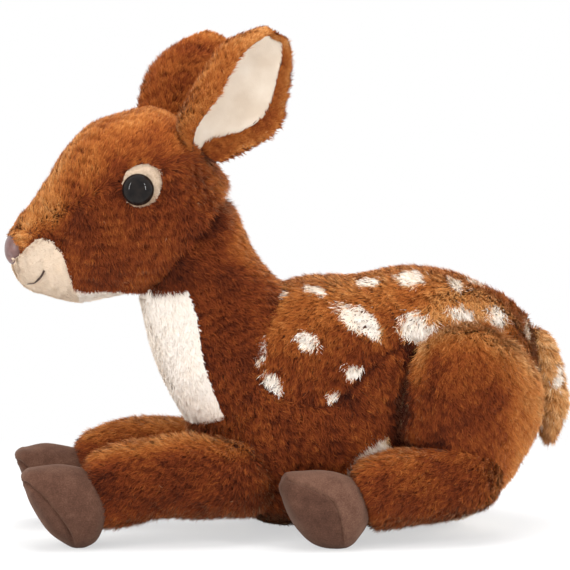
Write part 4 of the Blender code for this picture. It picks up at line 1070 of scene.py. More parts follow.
# Stops of place and colour, and the places on the coat's ramp that are used by name.
COAT = [(0.00, (0.035, 0.007, 0.003)), (0.12, (0.130, 0.024, 0.006)), (0.20, (0.220, 0.043, 0.010)),
        (0.30, (0.360, 0.090, 0.017)), (0.42, (0.555, 0.184, 0.040)), (0.55, (0.725, 0.345, 0.112)),
        (0.68, (0.850, 0.550, 0.280)), (0.80, (0.905, 0.770, 0.610)), (1.00, (0.960, 0.910, 0.850))]
SHORT_CREAM = [(0.0, (0.34, 0.23, 0.14)), (0.5, (0.64, 0.48, 0.34)), (0.8, (0.77, 0.63, 0.49)),
               (1.0, (0.84, 0.71, 0.58))]
RUST, AMBER, CREAM, SPOT_CREAM, WHITE = 0.175, 0.57, 0.90, 0.95, 0.98
coat_pile = pile_material("coat_pile", COAT)
short_pile = pile_material("short_cream_pile", SHORT_CREAM)

# %% Spots
# Place in the photograph in pixels, width and height in millimetres, and turn in degrees.
SPOTS = (
    (364, 320.5, 28, 14.5, 33), (309, 340, 12.5, 11, 30), (261, 346.5, 6.5, 19, 6),
    (273, 382, 9, 14, -35), (356, 370.5, 12, 8, 10), (333.7, 393.8, 8.5, 5.5, -20),
    (286.5, 294.3, 8, 6.5, 10), (319, 290.5, 14.5, 7, 38), (370.5, 282.6, 13.5, 11, 10),
    (413.7, 279.8, 17, 15, 10), (416, 327.5, 18.5, 17, 8), (459, 284.7, 10, 14, 0),
    (481, 284, 14, 10, 35), (461, 312, 13.5, 12, 20), (496, 314.2, 10.5, 13, 0),
    (514, 297, 13.5, 9, 38), (525, 330, 9.5, 15, 0),
)


def stamped(place, outward, spots, seed):
    """How far each root is inside a spot, from 0 to 1. A spot's centre is the root that comes out
    nearest to its place in the photograph, and it is an oval on the skin, in millimetres, turned
    by its last number. The far side has the same spots, mirrored."""
    near, near_out = (np.where(place[:, 1:2] > 0, table * np.array([1, -1, 1]), table)
                      for table in (place, outward))
    pixels = photo_pixel(near)
    facing = near_out @ towards_camera
    ragged = hills(near, 0.006, seed)[0] * 0.16 + hills(near, 0.0022, seed + 1)[0] * 0.10
    speckle = np.random.default_rng(seed).normal(0, 1, len(place))
    inside = np.zeros(len(place))
    for px, py, wide, tall, turn in spots:
        miss = np.hypot(pixels[:, 0] - px, pixels[:, 1] - py) + np.where(facing > 0.02, 0, 500)
        middle = miss.argmin()
        if miss[middle] > 3:
            continue
        normal = near_out[middle]
        right = unit(camera_right - normal * (camera_right @ normal))
        up = np.cross(normal, right)
        up *= np.sign(up @ camera_up)
        away = near - near[middle]
        a, b, wide, tall = away @ right, away @ up, wide / 2000, tall / 2000
        cosine, sine = math.cos(math.radians(turn)), math.sin(math.radians(turn))
        oval = np.hypot((a * cosine - b * sine) / wide, (a * sine + b * cosine) / tall)
        close = np.abs(away @ normal) < 0.020
        upper = smooth_step(b / tall, -0.3, 0.7)
        speckled = oval + ragged + speckle * (0.04 + 0.13 * upper)
        inside = np.maximum(inside, np.where(
            close, 1 - smooth_step(speckled, 0.90 + 0.06 * upper, 1.16 - 0.08 * upper), 0))
    return inside


# %% The body's coat
def clear_of(*covers, depth=0.006):
    """A test that keeps the places which no cover hides by more than a depth."""
    return lambda points: ~np.any([cover.inside(points, depth) for cover in covers], axis=0)


def body_coat(place, outward, seed):
    """Shade, saddle test, comb and length of the body's pile: painted light on the upward-facing
    back and in the hollow between body and thigh, painted shade low down, in the crease before the
    thigh and along the lobe's seam, and the spots of the saddle. On the saddle the pile hangs down
    and a little forward, and on the flank down and back."""
    up = smooth_step(outward[:, 2], 0.0, 0.95)
    low = 1 - smooth_step(place[:, 2], 0.012, 0.075)
    near_floor = 1 - smooth_step(place[:, 2], 0.006, 0.022)
    crease, seam = near_line(place, CREASE, 9.5), near_line(place, LOBE_SEAM, 2.6)
    saddle = on_saddle(place)
    over_thigh = np.max([1 - smooth_step(thigh.level(place), 1.02, 1.40)
                         for thigh in thighs.values()], axis=0)
    between = ((1 - smooth_step(torso.level(place), 1.02, 1.18))
               * smooth_step(place[:, 2], 0.078, 0.096) * over_thigh)
    # Painted light where the pile faces up and between body and thigh; painted shade low down, in
    # the crease and along the lobe's seam.
    shade = (RUST + 0.015 + 0.20 * up + 0.16 * between * (1 - crease) - 0.02 * low
             + 0.03 * saddle - 0.24 * crease - 0.17 * seam)
    spotted = stamped(place, outward, SPOTS, seed) * saddle
    shade = np.maximum(shade, 0.02) * (1 - spotted) + SPOT_CREAM * spotted
    sideways = np.clip(place[:, 1] / 0.015, -1, 1) * (1 - 0.8 * up) + between * np.sign(place[:, 1])
    forward = np.where(saddle, -0.35 - 0.75 * up, 0.45) * (1 - between)
    comb = np.column_stack([forward, sideways, -0.9 * (1 - 0.6 * up)])
    dip = bell(middle_pixels(place), DIP, 18) * up
    long = (PILE_LENGTH * (1 + 0.5 * between - 0.5 * near_floor) * (1 - 0.60 * crease)
            * (1 - 0.35 * seam) * (1 - 0.35 * dip))
    return shade, saddle, comb, long


# %% Pile of the body
# Where thighs or the floor hide the pile, only this share of it is grown.
HIDDEN_SHARE = 0.18
place, outward = plant(bags["torso"], 176000, clear_of(neck, depth=0.008), 21)
hidden = (np.any([thigh.inside(place, 0.007) for thigh in thighs.values()], axis=0)
          | (place[:, 2] < 0.004) | (on_belly(place) & (place[:, 2] < 0.030)))
some = np.random.default_rng(22).random(len(place)) < np.where(hidden, HIDDEN_SHARE, 1.0)
place, outward = only(some, place, outward)
belly, left = on_belly(place), place[:, 1] < 0
coat, saddle, comb, long = body_coat(place, outward, 23)
# The cream belly pile is painted dark towards the crease before the thigh: painted shade.
belly_coat = SPOT_CREAM - 0.80 * near_line(place, CREASE, 10)
for name, panel, share, shade, grain, slot in (
        ("saddle_pile_left", saddle & ~belly & left, 1, coat, 0.040, "spotted_plush"),
        ("saddle_pile_right", saddle & ~belly & ~left, 1, coat, 0.040, "spotted_plush"),
        ("flank_pile", ~saddle & ~belly, 1, coat, 0.052, "brown_plush"),
        ("belly_pile", belly, 0.75, belly_coat, 0.052, "cream_plush")):
    grow_pile(name, panel, place, outward, comb, long * share, shade, coat_pile, "trunk",
              24, grain=grain)

# %% Pile of the neck
place, outward = plant(bags["neck"], 86000, clear_of(torso, depth=0.006), 31)
bib = on_bib(place)
jaw = 1 - smooth_step(np.abs(past_neckline(place)), 0.004, 0.022)
down = np.broadcast_to(-neck.forward, place.shape) + np.array([0.45, 0, 0])
# The neck's pile is painted lighter where it faces the back, painted light, and darker under the
# jaw, painted shade.
neck_shade = RUST - 0.01 + 0.20 * smooth_step(outward[:, 0], 0.25, 0.95) - 0.03 * jaw
border = distance_to_line(near_pixels(place), np.array(BIB_BORDER, float)[1:10])
neck_long = (0.0064 + 0.0020 * jaw) * (0.5 + 0.5 * smooth_step(border, 1, 9))
neck_pile = grow_pile("neck_pile", ~bib, place, outward, down, neck_long, neck_shade, coat_pile,
                      None, 32)
place, outward = plant(bags["neck"], 104000, on_bib, 34)
place, outward = only(clear_of(torso, depth=0.004)(place), place, outward)
down = np.broadcast_to(-neck.forward, place.shape)
bib_pile = grow_pile("bib_pile", ANY, place, outward, down, 0.0032, WHITE, coat_pile, None,
                     33, lean=(31, 13), tuft=0.35, grain=0.012)

# %% Pile of the head
# The pile keeps this far from the neckline, the eyes' middles and the nose's middle.
NECKLINE_CLEAR, EYE_CLEAR = 0.0012, EYE_WIDTH * 0.48
NOSE_CLEAR, NOSE_CLEAR_SHORT = (0.0088, 0.0135, 0.0100), (0.0081, 0.0129, 0.0098)
# Where the painted light and the tuft overlap, the shade stops here.
HEAD_BRIGHTEST = 0.45
nose_place = head.at(0.926, 0.037)


def nose_distance(points, size):
    """How far points are from the nose's middle, as shares of an ellipsoid's half axes."""
    return np.linalg.norm((points - nose_place) / size, axis=1)


def clear_of_eyes(points):
    """True on the head's side of the neckline and outside both eyes."""
    gaps = [np.linalg.norm(points - eye_skin[side], axis=1) for side in SIDES]
    return (np.min(gaps, axis=0) > EYE_CLEAR) & (past_neckline(points) > NECKLINE_CLEAR)


place, outward = plant(bags["head"], 106000, clear_of_eyes, 41)
nose_gap = nose_distance(place, NOSE_CLEAR)
place, outward, nose_gap = only((nose_gap > 1) & ~cream_on_head(place), place, outward, nose_gap)
seen = near_pixels(place)
along_head, high_head = head.shares(place)
snout = smooth_step(along_head, 0.55, 0.90)

# %% Shade, comb and length on the head
# Above this line in the photograph the head's pile is painted lighter: painted light from above.
BRIGHT_ABOVE = ((0, 236), (40, 222), (80, 196), (120, 172), (160, 160), (205, 152), (245, 190))
above = read_rows(BRIGHT_ABOVE, seen[:, 0])[0] - seen[:, 1]
nose_tuft = near_line(place, np.array([(26, 216), (28, 232), (26, 244)], float), 3.0)
behind_ear = np.exp(-(np.hypot(seen[:, 0] - 214, seen[:, 1] - 186) / 17) ** 2)
brow_crease = near_line(place, np.array([(160, 165), (180, 160), (203, 157)], float), 3.0)
shadow = np.exp(-(np.hypot(seen[:, 0] - 61, seen[:, 1] - 238) / 11) ** 2)
parting = bell(nose_gap, 1, 0.5) * smooth_step(high_head, 0.0, 0.12)
rising = smooth_step(above, -25, 20)[:, None]
# Painted light on the snout's top, the forehead and crown, at the parting before the nose and
# behind the ear; painted shade in the brow's crease and a painted shadow near the muzzle. The tuft
# by the nose is tan hair.
painted_light = (0.15 * smooth_step(above, -22, 2) * (1 - smooth_step(seen[:, 0], 48, 84))
          + 0.11 * smooth_step(above, -24, 14) + 0.08 * smooth_step(above, 14, 52))
tuft_and_painted_light_shade = (0.56 * parting * (1 - parting) + 0.16 * nose_tuft + 0.12 * behind_ear
         - 0.08 * brow_crease - 0.06 * shadow)
head_shade = np.minimum(HEAD_BRIGHTEST, RUST + 0.015 + painted_light + tuft_and_painted_light_shade)
comb = (-head.forward + np.array([0.2, 0, 1.6])) * rising + np.array([0.35, 0, -1.0]) * (1 - rising)
before_nose = parting[:, None]
comb = comb * (1 - before_nose) + (head.forward + np.array([0, 0, -0.2])) * 1.5 * before_nose
for side in SIDES:
    away = place - eye_skin[side]
    gap = np.linalg.norm(away, axis=1)[:, None]
    comb = comb + away / gap * 2.4 * (1 - smooth_step(gap, 0.010, 0.017))
border_gap = np.min([distance_to_line(seen, border)
                     for border in (MUZZLE_BORDER, CHIN_BORDER, PATCH_BORDER)], axis=0)
shorter = 0.0014 * smooth_step(above, 20, 60) + 0.0016 * snout + 0.0080 * parting * (1 - parting)
long_head = ((PILE_LENGTH - shorter) * (0.50 + 0.50 * smooth_step(border_gap, 0, 9))
             + 0.0020 * (1 - smooth_step(past_neckline(place), 0.002, 0.020)))
left = place[:, 1] < 0
for name, panel in (("head_pile_left", left), ("head_pile_right", ~left)):
    grow_pile(name, panel, place, outward, comb, long_head, head_shade, coat_pile, "head",
              42)

# %% Short pile of the muzzle, the chin and round the eyes
place, outward = plant(bags["head"], 205000, cream_on_head, 46)
# What the photograph would show up and left of here is covered by the nose.
UNDER_NOSE = (16, 264.5)
keep = (clear_of_eyes(place) & (nose_distance(place, NOSE_CLEAR_SHORT) > 1)
        & (near_pixels(place) > UNDER_NOSE).any(1))
place, outward = only(keep, place, outward)
muzzle, chin = on_muzzle(place), on_chin(place)
comb = np.broadcast_to(-head.forward, place.shape) + np.array([0, 0, -0.1])
long_muzzle = 0.0010 + 0.0009 * smooth_step(nose_distance(place, 1), 0.010, 0.020)
seen = near_pixels(place)
EYE_PIXEL, SHORT_HAIR_WIDTH = np.array([138.2, 189.6]), 0.00042
tan_rim = ((1 - smooth_step(np.linalg.norm(seen - EYE_PIXEL, axis=1), 16, 21))
           * smooth_step(seen[:, 1], 192, 202))
shade = np.where(muzzle, 0.86, np.where(chin, WHITE, 0.68 - 0.34 * tan_rim))
for name, panel, long, lean, material in (
        ("muzzle_pile", muzzle, long_muzzle, (28, 12), short_pile),
        ("chin_pile", chin, 0.0028, (34, 16), coat_pile),
        ("eye_patch_pile", ~(muzzle | chin), 0.0021, (30, 12), short_pile)):
    grow_pile(name, panel, place, outward, comb, long, shade, material, "head",
              43, lean=lean, width=SHORT_HAIR_WIDTH, tuft=0.5, grain=0.012)

# %% Pile of the legs
def leg_pile(name, side, body, place, outward, comb, long, shade, seed):
    """The brown pile of one piece of a leg."""
    grow_pile(name + "_pile_" + side, ANY, place, outward, comb, long, shade, coat_pile,
              side + body, seed)


def on_thigh(points):
    """Behind the thigh's front edge and outside the body."""
    return (before_thigh(points) < 0.0055) & ~torso.inside(points, 0.004)


for side, sign in SIDES.items():
    place, outward = plant(bags["foreleg_" + side], 34500,
                           clear_of(fore_hooves[side], depth=0.002), 51)
    place, outward = only(~neck.inside(place, 0.012), place, outward)
    along = forelegs[side].shares(place)[0]
    out_of_body = smooth_step(along, 0.08, 0.40)[:, None]
    comb = ((forelegs[side].forward + np.array([0, 0, -0.45])) * out_of_body
            + np.array([0.1, 0, -1.0]) * (1 - out_of_body))
    up = smooth_step(outward[:, 2], 0.25, 0.98) * (0.35 + 0.65 * out_of_body[:, 0])
    low = 1 - smooth_step(place[:, 2], 0.010, 0.035)
    # The foreleg's pile is painted lighter where it faces up, painted light, and is lighter near
    # the floor.
    leg_pile("foreleg", side, "_foreleg", place, outward, comb,
             PILE_LENGTH + 0.0012 * smooth_step(along, 0.80, 0.98),
             RUST - 0.025 + 0.26 * up + 0.07 * low, 52)

    place, outward = plant(bags["thigh_" + side], 43000, on_thigh, 53)
    shade, _, _, long = body_coat(place, outward, 23)
    high = smooth_step(place[:, 2], 0.085, 0.120)[:, None]
    comb = np.array([-0.30, 0.35 * sign, -0.80]) * high + np.array([0.30, 0, -1.0]) * (1 - high)
    rear = smooth_step(outward[:, 0], 0.10, 0.85)
    # Painted light just behind the crease and on the rear-facing haunch, less where it faces up;
    # painted shade in the thigh's fold.
    shade = (shade + 0.05 * near_line(place, CREASE + [16, 0], 5)
             - 0.07 * near_line(place, THIGH_FOLD, 6) + 0.26 * rear
             - 0.16 * smooth_step(outward[:, 2], 0.2, 0.95) * rear)
    leg_pile("thigh", side, "_hindleg", place, outward, comb, long, shade, 54)

    place, outward = plant(bags["shank_" + side], 32000,
                           clear_of(hind_hooves[side], thighs[side], depth=0.003), 55)
    comb = np.broadcast_to(-shanks[side].forward, place.shape) + np.array([0, 0, -0.35])
    crease = near_line(place, CREASE, 5.0)
    # Painted light on the shank's upper and rear-facing sides, painted shade in the crease.
    shade = (RUST + 0.03 + 0.14 * smooth_step(outward[:, 2], 0.2, 0.98)
             + 0.24 * smooth_step(outward[:, 0], 0.45, 0.95) - 0.17 * crease)
    leg_pile("shank", side, "_hindleg", place, outward, comb, PILE_LENGTH * (1 - 0.5 * crease),
             shade, 56)

# %% Pile of the tail
TAIL_SPOTS = ((556, 372.6, 5, 14, 5), (561, 411, 7, 10, -38))
place, outward = plant(bags["tail"], 22000, clear_of(torso, depth=0.010), 61)
lining = on_tail_lining(place)
comb = np.broadcast_to(tail.forward, place.shape)
spotted = stamped(place, outward, TAIL_SPOTS, 62)
tail_shade = AMBER * (1 - spotted) + SPOT_CREAM * spotted
grow_pile("tail_pile", ~lining, place, outward, comb, 0.0070, tail_shade, coat_pile, "scut",
          63)
grow_pile("tail_lining_pile", lining, place, outward, comb, 0.0058, CREAM, coat_pile, "scut",
          64, lean=(40, 20))

# %% [markdown]
# ## Ears
# An ear is one piece of pile fabric and one of velour, sewn together and turned, with its front
# edge rolled inwards so that a furry lobe covers part of the lining. Its surface is a curved
# sheet: one table gives how wide it is from foot to tip, and another how it curls across.

# %% The ear's surface
EAR_LENGTH, EAR_WIDTH = 0.082, 0.058
FAR_EAR_BULGE = 0.0036
EAR_FEET = {"left": (0.069, 0.291), "right": (0.205, 0.278)}
EAR_LEANS = {"left": math.radians(27.5), "right": math.radians(21)}
EAR_SPLAY = math.radians(9)
EAR_OUTLINE = ((0.00, -0.14, 0.20), (0.14, -0.28, 0.37), (0.29, -0.31, 0.53), (0.44, -0.30, 0.59),
               (0.60, -0.28, 0.53), (0.74, -0.25, 0.45), (0.88, -0.12, 0.35), (1.00, 0.04, 0.21))
EAR_CURL = ((0.00, -0.42, 0.46), (0.12, -0.66, 0.49), (0.24, -0.90, 0.35), (0.35, -1.00, 0.09),
            (0.50, -0.74, -0.14), (0.65, -0.22, -0.24), (0.80, 0.34, -0.17), (1.00, 1.00, 0.08))


class Ear:
    """The curled sheet between an ear's pile fabric and its velour."""

    def __init__(self, side):
        sign, lean = SIDES[side], EAR_LEANS[side]
        self.foot = head.at(*EAR_FEET[side])
        self.bulge = FAR_EAR_BULGE if side == "right" else 0.0
        self.foot[1] = sign * 0.245 * HEAD_WIDTH
        self.axis = np.array([math.sin(lean) * math.cos(EAR_SPLAY), sign * math.sin(EAR_SPLAY),
                              math.cos(lean) * math.cos(EAR_SPLAY)])
        self.across = np.array([math.cos(lean), 0, -math.sin(lean)])
        self.out = np.cross(self.axis, self.across)
        self.out *= sign * np.sign(self.out[1])

    def sheet(self, along, across):
        """Foot plus reach along the axis, plus the curl scaled by half the width there."""
        along, across = np.broadcast_arrays(along, across)
        front, rear = read_rows(EAR_OUTLINE, along.ravel()) * EAR_WIDTH
        front = front - self.bulge * bell(along.ravel(), 0.52, 0.20)
        over, out = read_rows(EAR_CURL, across.ravel())
        half = (rear - front) / 2
        points = (self.foot + np.outer(along.ravel() * EAR_LENGTH, self.axis)
                  + np.outer((rear + front) / 2 + half * over, self.across)
                  + np.outer(half * out, self.out))
        return points.reshape(along.shape + (3,))

    def directions(self, along, across):
        """Upward and rearward on the sheet, by small steps both ways, and square to both."""
        small = 0.01
        up = self.sheet(along + small, across) - self.sheet(along - small, across)
        over = self.sheet(along, across + small) - self.sheet(along, across - small)
        return up, over, unit(np.cross(up, over))

    def grid_at(self, along, across):
        """A grid of sheet points, and the direction from each towards the velour."""
        normal = self.directions(along, across)[2]
        towards = np.sign((normal[:, normal.shape[1] // 2:] @ self.out).sum())
        return self.sheet(along, across), normal * towards

    def frame_at(self, along, across):
        """Sheet points at any places, with their lining side, upward and rearward directions."""
        up, over, normal = self.directions(along, across)
        middle = np.abs(across - 0.6) < 0.15
        towards = np.sign((normal[middle] @ self.out).sum())
        return self.sheet(along, across), normal * towards, up, over


# %% The ear's thickness and rim
def ear_wall(along, across):
    """How thick the pile fabric is: full in the middle and thin at the rims."""
    rim = (smooth_step(across, 0, 0.06) * (1 - smooth_step(across, 0.94, 1))
           * (1 - smooth_step(along, 0.93, 1)))
    return 0.0006 + 0.0012 * np.sqrt(rim)


EAR_FREE, EAR_ENDS, LINING_START = 0.105, 0.966, 0.30
LINING_EDGE = ((0.0, 0.62), (0.10, 0.725), (0.20, 0.80), (0.33, 0.845), (0.44, 0.870),
               (0.60, 0.885), (0.80, 0.890), (1.0, 0.89))


def lining_limit(along):
    """Share of the way across at which the velour ends and the furry rim begins."""
    return read_rows(LINING_EDGE, np.clip(np.ravel(along), 0, 1))[0]


def sheet_with_wall(name, middle, normal, front, back):
    """A closed wall round a grid of points, from front before it to back behind it, both of
    which may differ from point to point and meet at the rim."""
    rows, columns = middle.shape[:2]
    faces = grid_triangles(rows, columns, round_rows=False)
    total = rows * columns
    near = middle + normal * front[..., None]
    far = middle - normal * back[..., None]
    rim = np.concatenate([np.arange(columns), np.arange(1, rows) * columns + columns - 1,
                          (rows - 1) * columns + np.arange(columns - 2, -1, -1),
                          np.arange(rows - 2, 0, -1) * columns])
    following = np.roll(rim, -1)
    edge = np.concatenate([np.stack([rim, following, following + total], -1),
                           np.stack([rim, following + total, rim + total], -1)])
    points = np.vstack([near.reshape(-1, 3), far.reshape(-1, 3)])
    triangles = np.concatenate([faces, faces[:, ::-1] + total, edge[:, ::-1]])
    return put_mesh(name, points, facing_out(points, triangles))


# %% Velour of the ear lining
velour = noisy_material("velour_lining", {"Scale": 60, "Detail": 3},
                        [(0.32, (0.68, 0.56, 0.44)), (0.55, (0.77, 0.66, 0.54)),
                         (0.75, (0.83, 0.74, 0.63))],
                        {"Roughness": 0.9, "Sheen Weight": 0.5, "Sheen Tint": (1, 0.93, 0.85, 1)},
                        relief=(0.5, 0.0004), relief_noise={"Scale": 1400, "Detail": 4})


# %% The ears' cloth
def ear_sheets(ear, side):
    """The pile fabric with its wall, and the velour on it, a little uneven."""
    rows = np.linspace(-0.02, EAR_ENDS, 56)[:, None]
    columns = np.linspace(EAR_FREE, EAR_ENDS, 64)[None, :]
    wall = ear_wall(*np.broadcast_arrays(rows, columns))
    outer = sheet_with_wall("ear_cloth_" + side, *ear.grid_at(rows, columns),
                            np.full_like(wall, -0.0002), wall)
    dress(outer, (brown_ground,), ("ear_" + side,), side + "_ear")
    rows = np.linspace(0.0, 0.950, 48)[:, None]
    reach = lining_limit(rows)[:, None] - LINING_START
    middle, normal = ear.grid_at(rows, LINING_START + reach * np.linspace(0, 1, 56)[None, :])
    soft = hills(middle.reshape(-1, 3), 0.018, 71)[0].reshape(middle.shape[:2]) * 0.0004
    lining = sheet_with_wall("ear_velour_" + side, middle, normal, 0.0014 + soft,
                             np.full(soft.shape, 0.0))
    dress(lining, (velour,), ("ear_lining_" + side,), side + "_ear")


# %% The ears' pile
# How much lighter each ear's pile is painted all over, and how much more at its front edge: painted
# light.
EAR_PAINTED_LIGHT = {"left": (0.055, 0.16), "right": (0.085, 0.08)}


def back_places(draw, count):
    """Shares of length and width, spread evenly over the ear."""
    along = draw.random(count) * EAR_ENDS
    return along, EAR_FREE + draw.random(count) * (EAR_ENDS - EAR_FREE)


def rim_places(draw, count):
    """The same, gathered on the furry rim: beside the velour, and over its tip."""
    along, across = back_places(draw, count)
    band = draw.random(count) < 0.75
    edge_share = (EAR_ENDS - lining_limit(along)) * draw.random(count) ** 0.8
    across = np.where(band, EAR_ENDS - edge_share, across)
    along = np.where(band, along, EAR_ENDS - 0.016 * draw.random(count))
    use = (across > LINING_START) & (draw.random(count) < 0.25 + 0.75 * across)
    return along[use], across[use]


for side in SIDES:
    ear = Ear(side)
    ear_sheets(ear, side)
    whole_ear_light, front_edge_light = EAR_PAINTED_LIGHT[side]
    for label, places, count, seed in (("back", back_places, 27000, 72),
                                       ("rim", rim_places, 17500, 75)):
        along, across = places(np.random.default_rng(seed), count)
        sheet, towards_velour, up, over = ear.frame_at(along, across)
        edge, tip = smooth_step(across, 0.90, 1.0), smooth_step(along, 0.80, 0.96)
        if label == "rim":
            side_out, wall, turning, more = towards_velour, 0.0002, 0.9, 0.07
        else:
            side_out, wall, turning, more = (-towards_velour, ear_wall(along, across)[:, None],
                                             0.7 * edge[:, None], 0.0)
        root = sheet + side_out * wall
        comb = unit(strip_off(up, side_out), 1e-9) + unit(strip_off(over, side_out), 1e-9) * turning
        # The pile is painted lighter at the ear's rim, its tip and its front edge, and the rim pile
        # more: painted light.
        painted_light = 0.21 * edge + 0.12 * tip + front_edge_light * (1 - smooth_step(across, 0.25, 0.45))
        long = 0.0050 - 0.0018 * tip
        # The far ear's fabric bulges low on its front side, and its pile is longer there.
        if side == "right":
            fold = blot(np.column_stack([along, across]), (0.50, 0.34), (0.26, 0.16))
            long, comb = long + 0.0028 * fold, comb - ear.across * 1.2 * fold[:, None]
        grow_pile("ear_" + label + "_pile_" + side, ~head.inside(root, 0.002), root, side_out, comb,
                  long, RUST + whole_ear_light + painted_light + more, coat_pile, side + "_ear",
                  seed + 1)

# %% [markdown]
# ## Hooves
# Each hoof is a small stuffed bag of suede cloth, made of a top piece and a side piece. The seam
# between them pulls the cloth into a groove, and suede is blotchy, darker where its nap lies flat.
# The groove is pressed into the points, and the nap's blotches come from two sizes of noise. Behind
# the seam the suede is painted lighter, most on the hind hooves: partly its nap, partly painted
# light.

# %% Suede
suede, shader, nodes, links = new_material("hoof_suede")
blend = nodes.new("ShaderNodeMix")
blend.data_type = "FLOAT"
put_values(blend, {"Factor": 0.50})
links.new(noise_node(nodes, links, {"Scale": 130, "Detail": 5, "Roughness": 0.65}),
          blend.inputs["A"])
links.new(noise_node(nodes, links, {"Scale": 1500, "Detail": 3}), blend.inputs["B"])
# The attribute read here lightens the suede behind the seam: partly its nap, partly painted light.
nap_and_light = nodes.new("ShaderNodeAttribute")
nap_and_light.attribute_name = "nap_and_light"
brushed = nodes.new("ShaderNodeMath")
brushed.operation = "MULTIPLY_ADD"
put_values(brushed, {1: 0.13})
links.new(nap_and_light.outputs["Fac"], brushed.inputs[0])
links.new(blend.outputs["Result"], brushed.inputs[2])
add_tone(nodes, links, shader, brushed.outputs[0],
         [(0.28, (0.045, 0.019, 0.012)), (0.52, (0.086, 0.039, 0.025)),
          (0.76, (0.150, 0.076, 0.051))])
add_bump(nodes, links, shader, blend.outputs["Result"], 0.6, 0.0003)
put_values(shader, {"Roughness": 0.95, "Specular IOR Level": 0.15, "Sheen Weight": 0.10,
                    "Sheen Tint": (1, 0.75, 0.60, 1)})

# %% The hooves
SEAM_GROOVE, SEAM_REACH = 0.0013, 0.0012
HOOF_OVER_FLOOR = 0.0002
# How light the suede is painted before the seam, and behind it on a fore and on a hind hoof: partly
# its nap, partly painted light.
NAP_AND_LIGHT_BEFORE, NAP_AND_LIGHT_BEHIND = -0.35, {"fore": 0.1, "hind": 1.0}
HIND_SEAM = ((289, 480), (311, 488), (331.6, 500), (340, 517), (344, 543), (345, 552))
FORE_SEAM = ((24, 482), (28.7, 485), (45, 499), (58, 515), (68, 531), (72.7, 540.7), (76, 550))


def hoof(name, bag, near_bag, node, body, seam):
    """A suede bag with a groove along its seam and a low ridge beside it. The seam is a line in
    the photograph on the near hoof; it is carried to the others by each hoof's own place."""
    points, triangles = bag.surface(90, 112)
    outward = point_directions(points, triangles)
    shifted = points - bag.start + near_bag.start
    shifted[:, 1] = near_bag.start[1] - np.abs(shifted[:, 1] - near_bag.start[1])
    gap = distance_to_line(photo_pixel(shifted), curved(seam, 4)) * METRES_PER_PIXEL
    groove = (0.0004 * bell(gap, SEAM_REACH * 1.4, SEAM_REACH)
              - SEAM_GROOVE * bell(gap, 0, SEAM_REACH * 0.55))
    groove = groove * smooth_step(points[:, 2], 0.001, 0.010)
    folds = hills(points, 0.016, 81)[0] * 0.0004
    points = points + outward * (groove + folds)[:, None]
    points[:, 2] = np.maximum(points[:, 2], HOOF_OVER_FLOOR)
    piece = put_mesh(name, points, triangles)
    # Behind the seam the suede is painted lighter: partly its nap, partly painted light.
    behind = in_outline(photo_pixel(shifted), seam + ((seam[-1][0], 600), (700, 600), (700, 400),
                                                      (seam[0][0] - 30, 400)))
    lie = np.where(behind, NAP_AND_LIGHT_BEHIND[node[:4]], NAP_AND_LIGHT_BEFORE).astype(np.float32)
    piece.data.attributes.new("nap_and_light", "FLOAT", "POINT").data.foreach_set("value", lie)
    dress(piece, (suede,), (node,), body)


for side in SIDES:
    for label, hooves, leg, seam in (("fore_hoof_", fore_hooves, "_foreleg", FORE_SEAM),
                                     ("hind_hoof_", hind_hooves, "_hindleg", HIND_SEAM)):
        hoof(label + "suede_" + side, hooves[side], hooves["left"], label + side, side + leg, seam)

# %% [markdown]
# ## Eyes, nose and mouth
# The eyes are polished black domes on a stem, pushed through the cloth and held by a washer
# inside. The nose is a satin plastic button, and the mouth is one line of thread. Domes and
# buttons are turned shapes, a profile swept round an axis, and the thread is a tube of two
# twisted strands along its path.

# %% Turned shapes
def turned(name, profile, place, axis, sides):
    """Each point of the profile is a radius and a height; it is swept round the axis, which is
    one long."""
    side = unit(np.cross(axis, (0, 0, 1)))
    other = np.cross(axis, side)
    radius, height = np.array(profile, float).T
    angles = np.linspace(0, 2 * math.pi, sides, endpoint=False)
    ring = np.cos(angles)[:, None] * side + np.sin(angles)[:, None] * other
    points = (place + height[1:-1, None, None] * axis
              + radius[1:-1, None, None] * ring[None]).reshape(-1, 3)
    points = np.vstack([points, place + np.outer(height[[0, -1]], axis)])
    return put_mesh(name, points, closed_triangles(points, len(profile) - 2, sides))


# %% Eyes
gloss = noisy_material("black_gloss", {"Scale": 220, "Detail": 4},
                       [(0.35, (0.006, 0.005, 0.005)), (0.8, (0.016, 0.012, 0.010))],
                       {"Roughness": 0.05, "Specular IOR Level": 0.15})
EYE_RADIUS, EYE_RIM, EYE_STEM, STEM_END = EYE_WIDTH / 2, -EYE_BULGE * 0.18, 0.0025, -0.012
dome = [(EYE_RADIUS * math.sin(step), EYE_BULGE * math.cos(step))
        for step in np.linspace(0, math.pi / 2, 20)]
rest = [(EYE_RADIUS * 0.985, EYE_RIM * 0.5), (EYE_RADIUS * 0.94, EYE_RIM), (EYE_STEM, EYE_RIM),
        (EYE_STEM, STEM_END), (0, STEM_END)]
for side in SIDES:
    seat = eye_skin[side] + eye_out[side] * EYE_RIM
    eye = turned("eye_dome_" + side, dome + rest, seat, eye_out[side], 64)
    eye.data.set_sharp_from_angle(angle=math.radians(50))
    dress(eye, (gloss,), ("eye_" + side,), "head")

# %% Nose
satin = noisy_material("nose_satin", {"Scale": 260},
                       [(0.3, (0.110, 0.052, 0.046)), (0.7, (0.185, 0.098, 0.088))],
                       {"Roughness": 0.36}, relief=(0.25, 0.0002), relief_noise={"Scale": 1500})
NOSE_SIZE, NOSE_FORWARD = np.array([0.0160, 0.0254, 0.0192]), 0.0005
NOSTRIL_DEPTH, NOSTRIL_SIZE = 0.0011, 0.30


